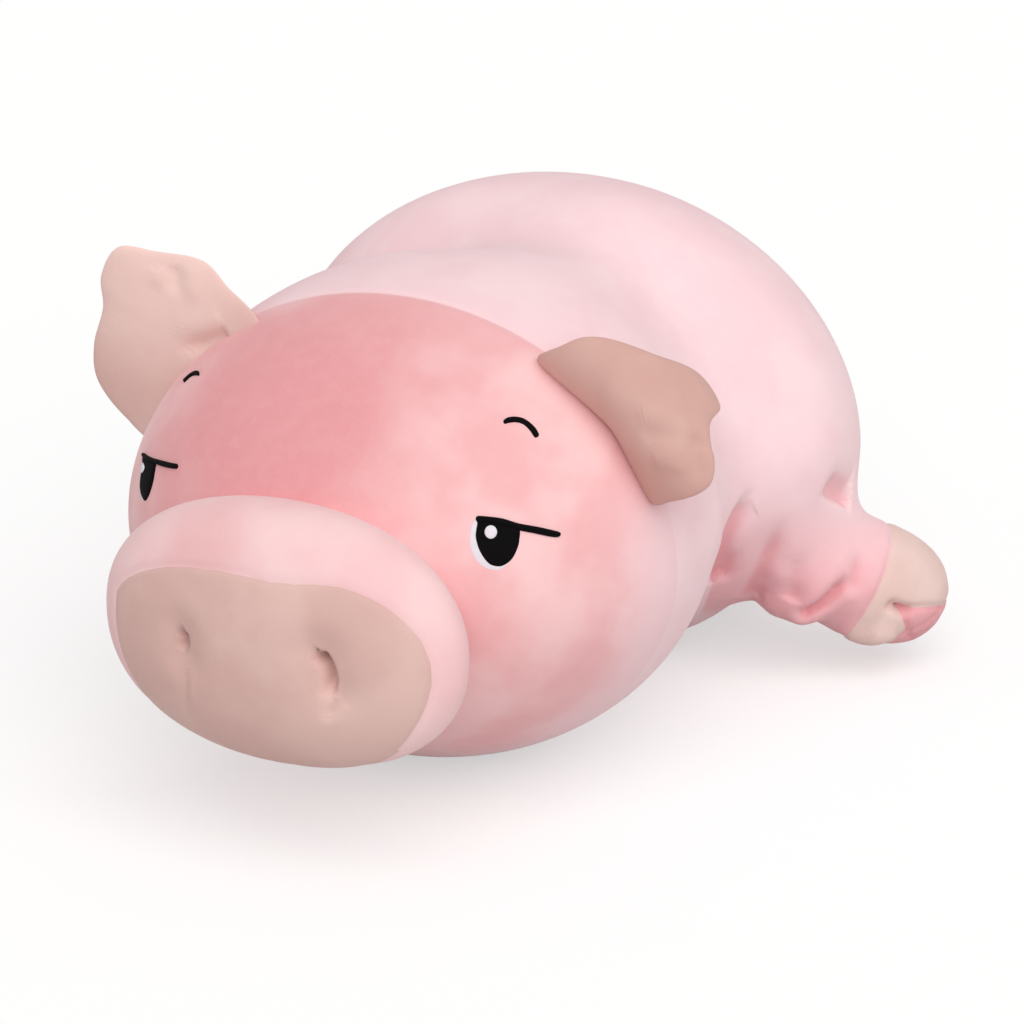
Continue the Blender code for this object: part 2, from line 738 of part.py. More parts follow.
def add_prism(name, frame, outline):
    """An outline on the head, drawn out along the way that the head faces there."""
    point, right, up, out = frame
    bm = bmesh.new()
    low = [bm.verts.new(point + right * x + up * y - out * STITCH_REACH) for x, y in outline]
    grown = bmesh.ops.extrude_face_region(bm, geom=[bm.faces.new(low)])
    moved = [part for part in grown["geom"] if isinstance(part, bmesh.types.BMVert)]
    bmesh.ops.translate(bm, vec=out * STITCH_REACH * 2, verts=moved)
    return add_cutter(name, finish_mesh(name, bm))


def oval(middle, half_wide, half_tall):
    """Points round an upright oval."""
    turns = [math.tau * number / OVAL_SIDES for number in range(OVAL_SIDES)]
    return [(middle[0] + half_wide * math.cos(t), middle[1] + half_tall * math.sin(t)) for t in turns]


def stroke(points, thick):
    """A stitched stroke along a few points, narrower at its two ends."""
    left, right = [], []
    last = len(points) - 1
    for number, point in enumerate(points):
        way = (points[min(number + 1, last)] - points[max(number - 1, 0)]).normalized()
        half = thick / 2 * (LID_END_SHARE if number in (0, last) else 1)
        side = Vector((-way.y, way.x)) * half
        left.append(point + side)
        right.append(point - side)
    return left + right[::-1]


def below_lid(first, last, drop):
    """A wide block of the face below the lid line, lowered by drop."""
    way = (last - first).normalized()
    down = Vector((way.y, -way.x))
    reach = PUPIL_TALL + WHITE_RIM
    start = first - way * reach + down * drop
    end = last + way * reach + down * drop
    return [start, start + down * reach * 4, end + down * reach * 4, end]


def stitched(name, shapes, material, keeps, cuts=()):
    """A layer of thread on the head, inside every outline of keeps and outside those of cuts."""
    thing = form_part(name, shapes["head"], HEAD_STEPS, material, -GAP - THREAD_RISE)
    keep(thing, *keeps)
    cut(thing, shapes["head_grown"], *cuts)


def make_eye(word, eye, shapes, paint):
    """The lid line, the pupil, its highlight, the white and the brow of one eye."""
    name = f"eye_{word}"
    frame = eye_frame(shapes["head"], eye["shares"])
    first, last = (Vector(end) for end in eye["lid"])
    stations = [first.lerp(last, share) for share in LID_STATION_SHARES]
    pupil = eye["pupil"]
    shine_at = (pupil[0] + HIGHLIGHT_SHIFT[0], pupil[1] + HIGHLIGHT_SHIFT[1])
    white_at = (pupil[0] - WHITE_SHIFT - WHITE_RIM / 2, pupil[1] - WHITE_SHIFT)
    white_half = (PUPIL_WIDE + GAP * 2 + WHITE_RIM / 2, PUPIL_TALL + WHITE_RIM / 2)
    shine_half = HIGHLIGHT_SIZE + GAP

    lid = add_prism(f"{name}_lid_shape", frame, stroke(stations, LID_THICK))
    under = add_prism(f"{name}_under_lid", frame, below_lid(first, last, LID_THICK / 2 + GAP))
    dark = add_prism(f"{name}_dark_shape", frame, oval(pupil, PUPIL_WIDE, PUPIL_TALL))
    around = add_prism(f"{name}_dark_grown", frame, oval(pupil, PUPIL_WIDE + GAP, PUPIL_TALL + GAP))
    shine = add_prism(f"{name}_shine_shape", frame, oval(shine_at, HIGHLIGHT_SIZE, HIGHLIGHT_SIZE))
    hole = add_prism(f"{name}_shine_grown", frame, oval(shine_at, shine_half, shine_half))
    white = add_prism(f"{name}_white_shape", frame, oval(white_at, *white_half))
    arch = add_prism(f"brow_{word}_shape", frame, stroke(smooth_line(eye["brow"], OUTLINE_STEPS), BROW_THICK))

    stitched(f"{name}_lid", shapes, paint["black_thread"], [lid])
    stitched(f"{name}_pupil", shapes, paint["black_thread"], [dark, under], [hole])
    stitched(f"{name}_highlight", shapes, paint["white_thread"], [shine, under])
    stitched(f"{name}_white", shapes, paint["white_thread"], [white, under], [around])
    stitched(f"brow_{word}", shapes, paint["black_thread"], [arch])


def main():
    """Builds the pig."""
    clear_scene()
    paint = make_paints()
    shapes = body_shapes(middle_of_length())
    make_torso(shapes, paint)
    make_head(shapes, paint)
    make_snout(shapes, paint)
    make_ears(shapes, paint)
    for word, side in (("right", -1), ("left", 1)):
        make_limb(word, ARM, side, shapes, paint)
        make_limb(word, LEG, side, shapes, paint)
    make_tail(shapes, paint)
    for word, eye in EYES.items():
        make_eye(word, eye, shapes, paint)


if __name__ == "__main__":
    main()
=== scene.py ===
"""A lying plush pig in velour: stuffed body, snout, ears, limbs and tail, with an embroidered face."""
import json
import logging
import math
from dataclasses import dataclass, field, replace
from enum import Enum
from typing import Callable, Sequence

import bpy
import numpy as np
from mathutils import Matrix, Vector
from mathutils.bvhtree import BVHTree
from mathutils.kdtree import KDTree

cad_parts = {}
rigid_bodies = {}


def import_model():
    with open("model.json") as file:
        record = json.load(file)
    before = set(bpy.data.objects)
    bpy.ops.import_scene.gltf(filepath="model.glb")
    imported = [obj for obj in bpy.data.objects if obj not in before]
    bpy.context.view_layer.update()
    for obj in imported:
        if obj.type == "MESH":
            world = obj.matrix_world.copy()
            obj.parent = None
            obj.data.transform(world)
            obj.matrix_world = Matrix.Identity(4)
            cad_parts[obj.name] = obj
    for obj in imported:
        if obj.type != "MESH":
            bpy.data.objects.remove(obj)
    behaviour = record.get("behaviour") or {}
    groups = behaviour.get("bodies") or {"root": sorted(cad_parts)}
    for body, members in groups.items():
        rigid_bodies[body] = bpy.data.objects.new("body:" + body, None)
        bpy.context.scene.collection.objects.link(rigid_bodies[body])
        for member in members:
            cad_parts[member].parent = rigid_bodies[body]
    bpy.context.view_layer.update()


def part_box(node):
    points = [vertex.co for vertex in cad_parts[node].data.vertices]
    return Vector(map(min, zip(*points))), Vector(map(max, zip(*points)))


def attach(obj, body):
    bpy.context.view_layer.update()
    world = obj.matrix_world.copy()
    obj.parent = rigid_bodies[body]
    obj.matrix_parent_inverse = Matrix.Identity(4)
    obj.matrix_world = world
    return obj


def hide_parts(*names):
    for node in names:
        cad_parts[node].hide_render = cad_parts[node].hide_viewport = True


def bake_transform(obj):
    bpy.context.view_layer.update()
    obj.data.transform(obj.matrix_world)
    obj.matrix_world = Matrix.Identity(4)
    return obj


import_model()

PICTURE = 1024
LOG = logging.getLogger("plush_pig")
# Name of the stored share by which the arms' pink deepens: partly the arms' own pink, partly painted shade
# under them, at the chest's edge and in their folds
PINK_AND_SHADE = "blush"

# Points nearer than this, in metres, are one
SAME_PLACE = 0.00001
# The heights between which the seam behind the face comes into view
FACE_SEAM_FADE = (0.17, 0.215)

Colour = tuple[float, float, float]
Spot = tuple[float, float, float]
Pixel = tuple[float, float]
Placer = Callable[[np.ndarray, np.ndarray], np.ndarray]


# Tools for meshes.


def take(thing: bpy.types.Object) -> bpy.types.Object:
    """Selects one object alone and makes it active.

    Args:
        thing: the object that the next operators act on.

    Returns:
        The same object.
    """
    if bpy.context.object and bpy.context.object.mode != "OBJECT":
        bpy.ops.object.mode_set(mode="OBJECT")
    bpy.ops.object.select_all(action="DESELECT")
    thing.select_set(True)
    bpy.context.view_layer.objects.active = thing
    return thing


def read(items: bpy.types.bpy_prop_collection, name: str, width: int, kind: type = np.float32) -> np.ndarray:
    """Returns one value of each of a mesh's items, one row each."""
    found = np.empty(len(items) * width, kind)
    items.foreach_get(name, found)
    return found.reshape(-1, width)


def read_points(thing: bpy.types.Object) -> np.ndarray:
    """Returns the places of a mesh's points, one row each."""
    return read(thing.data.vertices, "co", 3).astype(float)


def write_points(thing: bpy.types.Object, points: np.ndarray) -> None:
    """Moves a mesh's points to new places."""
    thing.data.vertices.foreach_set("co", np.ascontiguousarray(points, np.float32).ravel())
    thing.data.update()


def read_normals(thing: bpy.types.Object) -> np.ndarray:
    """Returns the way that the surface faces at each point."""
    return read(thing.data.vertex_normals, "vector", 3).astype(float)


def face_middles(thing: bpy.types.Object) -> np.ndarray:
    """Returns the middle of each face."""
    return read(thing.data.polygons, "center", 3).astype(float)


def relax(points: np.ndarray, edges: np.ndarray, pull: np.ndarray, rounds: int) -> np.ndarray:
    """Draws points towards the middle of their neighbours, as slack cloth evens out.

    Args:
        points: the places to even out.
        edges: pairs of neighbouring points.
        pull: how strongly each point is drawn, from 0 to 1.
        rounds: how often this is done.

    Returns:
        The new places.
    """
    points = points.copy()
    count = len(points)
    first, second = edges[:, 0], edges[:, 1]
    near = np.bincount(edges.ravel(), minlength=count).clip(1)
    for _ in range(rounds):
        for axis in range(3):
            ahead = np.bincount(first, points[second, axis], count)
            behind = np.bincount(second, points[first, axis], count)
            points[:, axis] += pull * ((ahead + behind) / near - points[:, axis])
    return points


def smooth_step(value: np.ndarray, low: float, high: float) -> np.ndarray:
    """Returns 0 below low, 1 above high, and a soft rise between them."""
    share = np.clip((value - low) / (high - low), 0, 1)
    return share * share * (3 - 2 * share)


def bell(value: np.ndarray, wide: float | np.ndarray) -> np.ndarray:
    """Returns 1 at 0, falling softly to both sides over a width."""
    return np.exp(-((value / wide) ** 2))


def smooth_line(points: Sequence[Sequence[float]], steps: int, closed: bool = False) -> np.ndarray:
    """A smooth path through a few points.

    Args:
        points: the places that the path goes through.
        steps: how many parts each stretch between two of them gets.
        closed: whether the path returns to its start.

    Returns:
        The places along the path.
    """
    given = np.asarray(points, float)
    count = len(given)
    found = []
    for number in range(count if closed else count - 1):
        picked = [number - 1, number, number + 1, number + 2]
        picked = [index % count if closed else min(max(index, 0), count - 1) for index in picked]
        a, b, c, d = given[picked]
        square, cube = 2 * a - 5 * b + 4 * c - d, 3 * b - a - 3 * c + d
        found += [(2 * b + (c - a) * t + square * t**2 + cube * t**3) / 2 for t in np.arange(steps) / steps]
    if not closed:
        found.append(given[-1])
    return np.array(found)


def unit(ways: np.ndarray) -> np.ndarray:
    """Returns directions with a length of 1."""
    return ways / np.linalg.norm(ways, axis=-1, keepdims=True)


def lengths(path: np.ndarray) -> np.ndarray:
    """Returns how far along a path each of its points lies."""
    return np.concatenate([[0], np.cumsum(np.linalg.norm(np.diff(path, axis=0), axis=1))])


def follow(path: np.ndarray, marks: np.ndarray, share: np.ndarray) -> np.ndarray:
    """Returns the places on a path at shares that are measured by the marks of its points."""
    return np.stack([np.interp(share, marks, column) for column in path.T], 1)


def reach_round(outline: np.ndarray) -> tuple[np.ndarray, np.ndarray]:
    """Returns an outline's angles round the origin, past a full turn both ways, and its reach at each."""
    around = np.arctan2(outline[:, 1], outline[:, 0])
    order = np.argsort(around)
    around, reach = around[order], np.linalg.norm(outline, axis=1)[order]
    return np.concatenate([around - math.tau, around, around + math.tau]), np.concatenate([reach] * 3)


def apply_modifier(thing: bpy.types.Object, kind: str, settings: dict[str, object]) -> None:
    """Adds a modifier to a piece and applies it.

    Args:
        thing: the piece.
        kind: the modifier's type.
        settings: its values by name.
    """
    take(thing)
    bpy.ops.object.modifier_add(type=kind)
    modifier = thing.modifiers[-1]
    for name, value in settings.items():
        setattr(modifier, name, value)
    bpy.ops.object.modifier_apply(modifier=modifier.name)


def edit(thing: bpy.types.Object, *operators: Callable[[], object]) -> None:
    """Runs operators on the whole of a piece in edit mode."""
    take(thing)
    bpy.ops.object.mode_set(mode="EDIT")
    bpy.ops.mesh.select_all(action="SELECT")
    for operator in operators:
        operator()
    bpy.ops.object.mode_set(mode="OBJECT")


def shade(thing: bpy.types.Object) -> None:
    """Shades a piece smoothly."""
    take(thing)
    bpy.ops.object.shade_smooth()


def outwards(thing: bpy.types.Object) -> None:
    """Turns a closed piece's faces outwards."""
    edit(thing, lambda: bpy.ops.mesh.normals_make_consistent(inside=False))


def close(thing: bpy.types.Object) -> None:
    """Joins the points of a piece that lie in one place."""
    edit(thing, lambda: bpy.ops.mesh.remove_doubles(threshold=SAME_PLACE))


def add_primitive(name: str, add: Callable[..., object], **sizes: object) -> bpy.types.Object:
    """Adds a primitive and names it."""
    bpy.ops.object.select_all(action="DESELECT")
    add(**sizes)
    bpy.context.object.name = name
    return bpy.context.object


def start_ball(name: str, steps: int, place: Callable[[np.ndarray], np.ndarray]) -> bpy.types.Object:
    """A cube divided evenly and pulled out into a stuffed form.

    Args:
        name: the piece's name.
        steps: faces along each edge of the cube.
        place: gives the place of each point from its direction.

    Returns:
        The new object.
    """
    thing = add_primitive(name, bpy.ops.mesh.primitive_cube_add, size=2)
    edit(thing, lambda: bpy.ops.mesh.subdivide(number_cuts=steps - 1))
    write_points(thing, place(unit(np.tan(read_points(thing) * math.pi / 4))))
    return thing


def start_rings(name: str, turns: int, rings: int, place: Placer) -> bpy.types.Object:
    """A ball of rings round two poles, pulled into a form whose seams run along its rings.

    Args:
        name: the piece's name.
        turns: points round each ring.
        rings: rings from pole to pole.
        place: gives each point's place from its angle round the rings and its share from pole to pole.

    Returns:
        The new object.
    """
    thing = add_primitive(name, bpy.ops.mesh.primitive_uv_sphere_add, segments=turns, ring_count=rings)
    points = read_points(thing)
    share = np.round(np.arccos(np.clip(points[:, 2], -1, 1)) / math.pi * rings) / rings
    write_points(thing, place(np.arctan2(points[:, 1], points[:, 0]), share))
    outwards(thing)
    return thing


def start_strip(name: str, along: int, across: int, place: Placer) -> bpy.types.Object:
    """A flat grid laid along a line.

    Args:
        name: the piece's name.
        along: faces along the line.
        across: faces across it.
        place: gives each point's place from its shares along and across, both from 0 to 1.

    Returns:
        The new object.
    """
    thing = add_primitive(name, bpy.ops.mesh.primitive_grid_add, x_subdivisions=along, y_subdivisions=across)
    points = read_points(thing)
    write_points(thing, place((points[:, 0] + 1) / 2, (points[:, 1] + 1) / 2))
    return thing


def choose_faces(thing: bpy.types.Object, chosen: np.ndarray) -> None:
    """Leaves only the chosen faces of a piece selected, in edit mode.

    Args:
        thing: the piece.
        chosen: true for each face that is wanted.
    """
    take(thing)
    bpy.context.tool_settings.mesh_select_mode = (False, False, True)
    bpy.ops.object.mode_set(mode="EDIT")
    bpy.ops.mesh.select_all(action="DESELECT")
    bpy.ops.object.mode_set(mode="OBJECT")
    thing.data.polygons.foreach_set("select", chosen)
    bpy.ops.object.mode_set(mode="EDIT")


def cut_row(thing: bpy.types.Object, chosen: np.ndarray, point: Sequence[float],
            normal: Sequence[float]) -> None:
    """Adds a row of edges where a plane crosses the chosen faces.

    Args:
        thing: the piece.
        chosen: true for each face that may be cut.
        point: a point of the plane.
        normal: the way that it faces.
    """
    choose_faces(thing, chosen)
    bpy.ops.mesh.bisect(plane_co=tuple(point), plane_no=tuple(normal), threshold=SAME_PLACE * 2)
    bpy.ops.object.mode_set(mode="OBJECT")


def split_off(thing: bpy.types.Object, chosen: np.ndarray) -> bpy.types.Object:
    """Makes the chosen faces of a piece a new object, and returns that."""
    choose_faces(thing, chosen)
    bpy.ops.mesh.separate(type="SELECTED")
    bpy.ops.object.mode_set(mode="OBJECT")
    return next(other for other in bpy.context.selected_objects if other != thing)


def tree_of(thing: bpy.types.Object) -> BVHTree:
    """Returns a search tree of a mesh's faces."""
    thing.data.calc_loop_triangles()
    corners = read(thing.data.loop_triangles, "vertices", 3, np.int32)
    return BVHTree.FromPolygons(read_points(thing).tolist(), corners.tolist())


def points_tree(points: np.ndarray) -> KDTree:
    """Returns a search tree of points."""
    tree = KDTree(len(points))
    for number, point in enumerate(points):
        tree.insert(point, number)
    tree.balance()
    return tree


# The camera's view.


@dataclass(frozen=True)
class Lens:
    """The camera: where it stands, how it is turned, and its focal length in pixels of the picture."""

    place: Spot = (0.79947, -1.63946, 0.78928)
    turn: float = math.radians(25.7)
    above: float = math.radians(20.5)
    focal: float = 3400.0
    film: float = 36.0

    def axes(self) -> tuple[Vector, Vector, Vector]:
        """Returns the ways to the picture's right, up and back towards the camera."""
        right = Vector((math.cos(self.turn), math.sin(self.turn), 0))
        level = math.cos(self.above)
        back = Vector((math.sin(self.turn) * level, -math.cos(self.turn) * level, math.sin(self.above)))
        return right, back.cross(right), back

    def way(self, pixel: Pixel) -> Vector:
        """Returns the direction in which the camera sees a pixel."""
        right, up, back = self.axes()
        across = (pixel[0] - PICTURE / 2) / self.focal
        down = (pixel[1] - PICTURE / 2) / self.focal
        return (right * across - up * down - back).normalized()

    def hit(self, tree: BVHTree, pixel: Pixel) -> tuple[Vector, Vector]:
        """Where a pixel's line of sight meets a surface.

        Args:
            tree: the surface's search tree.
            pixel: the place in the picture.

        Returns:
            The point, and the way that the surface faces there, or the nearest where the line passes by.
        """
        start = Vector(self.place)
        found = tree.ray_cast(start, self.way(pixel))
        if found[0] is None:
            middle = Vector((0, 0, 0.12))
            reach = (middle - start).dot(self.way(pixel))
            found = tree.find_nearest(start + self.way(pixel) * reach)
        return found[0], found[1]

    def hits(self, tree: BVHTree, pixels: Sequence[Pixel]) -> np.ndarray:
        """Returns where several pixels' lines of sight meet a surface, without leaving a form at its edge."""
        found: list[Vector] = []
        last = pixels[0]
        for pixel in pixels:
            for share in np.linspace(1, 0, 13):
                spot = (last[0] + (pixel[0] - last[0]) * share, last[1] + (pixel[1] - last[1]) * share)
                point = tree.ray_cast(Vector(self.place), self.way(spot))[0]
                if point is not None and (not found or (point - found[-1]).length < 0.03):
                    break
            if point is None and not found:
                point = self.hit(tree, pixel)[0]
            if point is not None and (not found or (point - found[-1]).length > 0.0005):
                found.append(point)
                last = spot
        if len(found) == 1:
            found.append(found[0] + Vector((0, 0, 0.001)))
        return np.array(found)

    def pixels(self, points: np.ndarray) -> np.ndarray:
        """Returns where points, or their mirror images on the pig's left side, show in the picture."""
        right, up, back = (np.array(axis) for axis in self.axes())
        offset = np.column_stack([np.abs(points[:, 0]), points[:, 1:]]) - np.array(self.place)
        away = -(offset @ back)
        return np.stack([PICTURE / 2 + self.focal * (offset @ right) / away,
                         PICTURE / 2 - self.focal * (offset @ up) / away], 1)

    def set_up(self) -> None:
        """Puts the camera in its place and makes it the scene's."""
        right, up, back = self.axes()
        turned = Matrix((right, up, back)).transposed().to_euler()
        bpy.ops.object.camera_add(location=self.place, rotation=turned)
        camera = bpy.context.object
        camera.name = "camera"
        camera.data.sensor_width = self.film
        camera.data.lens = self.focal * self.film / PICTURE
        camera.data.clip_end = 50
        bpy.context.scene.camera = camera


# Materials.


class Field:
    """A number, colour or vector that flows through a material, with the usual arithmetic."""

    def __init__(self, recipe: "Recipe", socket: bpy.types.NodeSocket) -> None:
        """Keeps the socket and the material that it belongs to."""
        self.recipe = recipe
        self.socket = socket

    def __add__(self, other: "Field | float") -> "Field":
        """Returns the sum."""
        return self.recipe.math("ADD", self, other)

    def __sub__(self, other: "Field | float") -> "Field":
        """Returns the difference."""
        return self.recipe.math("SUBTRACT", self, other)

    def __mul__(self, other: "Field | float") -> "Field":
        """Returns the product."""
        return self.recipe.math("MULTIPLY", self, other)


class Recipe:
    """A material in the making."""

    def __init__(self, name: str) -> None:
        """Starts an empty material."""
        self.material = bpy.data.materials.new(name)
        self.material.use_nodes = True
        self.tree = self.material.node_tree
        self.tree.nodes.clear()

    def node(self, kind: str, settings: dict[str, object] | None = None,
             inputs: dict[str | int, object] | None = None, outlet: str | int = 0) -> Field:
        """Adds a node.

        Args:
            kind: the node's type.
            settings: its options, set before its sockets are filled.
            inputs: a value or a field for each socket, by name or number.
            outlet: the output that is returned.

        Returns:
            That output as a field.
        """
        added = self.tree.nodes.new(kind)
        for name, value in (settings or {}).items():
            setattr(added, name, value)
        for name, value in (inputs or {}).items():
            if isinstance(value, Field):
                self.tree.links.new(value.socket, added.inputs[name])
            else:
                added.inputs[name].default_value = value
        return Field(self, added.outputs[outlet])

    def math(self, operation: str, first: "Field | float", second: "Field | float" = 0.0) -> Field:
        """Returns what an arithmetic node makes of two numbers."""
        return self.node("ShaderNodeMath", {"operation": operation}, {0: first, 1: second})

    def blend(self, share: "Field | float", first: "Field | Colour", second: "Field | Colour") -> Field:
        """Returns a colour between two others."""
        colours = [item if isinstance(item, Field) else (*item, 1.0) for item in (first, second)]
        return self.node("ShaderNodeMix", {"data_type": "RGBA", "clamp_factor": True},
                         {0: share, 6: colours[0], 7: colours[1]}, 2)

    def place(self) -> Field:
        """Returns the place on the object."""
        return self.node("ShaderNodeTexCoord", outlet="Object")

    def vector(self, operation: str, first: Field, second: "Field | Spot", outlet: str | int = 0) -> Field:
        """Returns what a vector node makes of two places."""
        return self.node("ShaderNodeVectorMath", {"operation": operation}, {0: first, 1: second}, outlet)

    def noise(self, place: Field, grain: float, detail: float = 2.0, rough: float = 0.5) -> Field:
        """Returns soft random patches, about as large as grain in metres."""
        return self.node("ShaderNodeTexNoise", {"noise_dimensions": "3D"},
                         {"Vector": place, "Scale": 1 / grain, "Detail": detail, "Roughness": rough})

    def ramp(self, value: Field, low: float, high: float, start: float = 0.0, end: float = 1.0) -> Field:
        """Returns a soft rise from start to end while value goes from low to high."""
        return self.node("ShaderNodeMapRange", {"interpolation_type": "SMOOTHSTEP"},
                         {"Value": value, "From Min": low, "From Max": high, "To Min": start, "To Max": end})

    def finish(self, shader: Field) -> bpy.types.Material:
        """Links the shader to the output and returns the material."""
        out = self.tree.nodes.new("ShaderNodeOutputMaterial")
        self.tree.links.new(shader.socket, out.inputs["Surface"])
        return self.material


def linear(red: float, green: float, blue: float) -> Colour:
    """Turns a colour of a colour picker, 0 to 255, into light."""
    def one(value: float) -> float:
        """Turns one of its parts."""
        share = value / 255
        return share / 12.92 if share <= 0.04045 else ((share + 0.055) / 1.055) ** 2.4
    return one(red), one(green), one(blue)


@dataclass(frozen=True)
class Blush:
    """A patch of another colour that fades out over the cloth: used for tints of the cloth and for painted
    light and shade.
    """

    colour: Colour
    middle: Spot
    near: float
    far: float
    share: float = 1.0


@dataclass(frozen=True)
class Fade:
    """A change of colour from one depth of the object to another, and only below a height."""

    colour: Colour
    start: float
    end: float
    low: float
    high: float


@dataclass(frozen=True)
class Fringe:
    """Pile of the neighbouring colour that lies over a seam."""

    colour: Colour
    point: Spot
    normal: Spot
    reach: float


@dataclass(frozen=True)
class Velour:
    """Short brushed pile: cloudy colour, patches of turned nap, and fuzz that catches the light."""

    name: str
    colour: Colour
    paler: Colour
    blushes: tuple[Blush, ...] = ()
    fringe: Fringe | None = None
    fade: Fade | None = None
    # The colour that the arms deepen to by the stored share: their own pink with painted shade
    deepened: Colour | None = None
    sheen: float = 0.35
    sheen_tint: Colour = (1.0, 0.86, 0.87)
    cloud: float = 0.05
    nap: float = 0.009
    pile: float = 0.0007

    def material(self) -> bpy.types.Material:
        """Makes the finish.

        Returns:
            The material.
        """
        recipe = Recipe(self.name)
        place = recipe.place()
        clouds = recipe.noise(place, self.cloud, 3.0)
        naps = recipe.noise(place, self.nap, 3.0, 0.6)
        fuzz = recipe.noise(place, self.pile, 2.0, 0.7)
        colour = recipe.blend(recipe.ramp(clouds, 0.36, 0.66), self.colour, self.paler)
        for blush in self.blushes:
            away = recipe.vector("DISTANCE", place, blush.middle, "Value")
            share = recipe.ramp(away + clouds * 0.03, blush.near, blush.far, blush.share, 0.0)
            colour = recipe.blend(share, colour, blush.colour)
        # Deepens the arms towards that colour: partly their own pink, partly painted shade under them, at the
        # chest's edge and in the folds
        if self.deepened:
            share = recipe.node("ShaderNodeAttribute", {"attribute_name": PINK_AND_SHADE}, outlet="Fac")
            colour = recipe.blend(recipe.ramp(share + (clouds - 0.5) * 0.2, 0.0, 1.0), colour, self.deepened)
        if self.fade:
            deep, high = (recipe.node("ShaderNodeSeparateXYZ", None, {0: place}, number) for number in (1, 2))
            share = recipe.ramp(deep + clouds * 0.02 - 0.01, self.fade.start, self.fade.end)
            share = share * recipe.ramp(high, self.fade.low, self.fade.high, 1.0, 0.0)
            colour = recipe.blend(share, colour, self.fade.colour)
        if self.fringe:
            offset = recipe.vector("SUBTRACT", place, self.fringe.point)
            across = recipe.vector("DOT_PRODUCT", offset, self.fringe.normal, "Value")
            ragged = across + (fuzz - 0.5) * 0.002 + (naps - 0.5) * 0.002
            split = recipe.node("ShaderNodeSeparateXYZ", None, {0: place}, 2)
            share = recipe.ramp(ragged, -self.fringe.reach, self.fringe.reach, 0.0, 0.5)
            share = share * recipe.ramp(split, *FACE_SEAM_FADE)
            colour = recipe.blend(share, colour, self.fringe.colour)
        tips = recipe.ramp(fuzz, 0.3, 0.75, 0.0, 0.16) + recipe.ramp(naps, 0.35, 0.7, -0.05, 0.05)
        colour = recipe.blend(tips, colour, self.paler)
        rough = recipe.ramp(naps, 0.3, 0.7, 0.82, 0.95)
        height = fuzz * 0.5 + naps * 0.35
        bump = recipe.node("ShaderNodeBump", None, {"Strength": 0.35, "Distance": 0.0009, "Height": height})
        shader = recipe.node("ShaderNodeBsdfPrincipled", None, {
            "Base Color": colour, "Roughness": rough, "Normal": bump, "Sheen Weight": self.sheen,
            "Sheen Roughness": 0.45, "Sheen Tint": (*self.sheen_tint, 1.0), "Specular IOR Level": 0.12,
        })
        return recipe.finish(shader)


@dataclass(frozen=True)
class Satin:
    """Machine embroidery: fine parallel threads with a soft gloss."""

    name: str
    colour: Colour
    glint: Colour
    thread: float = 0.00045
    lean: float = math.radians(35)
    gloss: float = 0.42
    shine: float = 0.3

    def material(self) -> bpy.types.Material:
        """Makes the finish.

        Returns:
            The material.
        """
        recipe = Recipe(self.name)
        flat = recipe.node("ShaderNodeTexCoord", outlet="UV")
        turned = recipe.node("ShaderNodeMapping", None, {"Vector": flat, "Rotation": (0.0, 0.0, self.lean)})
        wobble = recipe.noise(turned, 0.004, 2.0)
        bands = {"wave_type": "BANDS", "bands_direction": "X", "wave_profile": "SIN"}
        rows = recipe.node("ShaderNodeTexWave", bands, {
            "Vector": turned, "Scale": 0.314 / self.thread, "Distortion": 0.5, "Detail": 1.0,
            "Detail Scale": 1.5,
        })
        uneven = recipe.ramp(wobble, 0.3, 0.7, 0.0, 0.5)
        colour = recipe.blend(rows * 0.5 + uneven * 0.3, self.colour, self.glint)
        bump = recipe.node("ShaderNodeBump", None, {"Strength": 0.5, "Distance": 0.0003, "Height": rows})
        rough = recipe.ramp(rows, 0.0, 1.0, self.gloss + 0.2, self.gloss)
        shader = recipe.node("ShaderNodeBsdfPrincipled", None, {
            "Base Color": colour, "Roughness": rough, "Normal": bump, "Specular IOR Level": self.shine,
        })
        return recipe.finish(shader)


# Shapes.


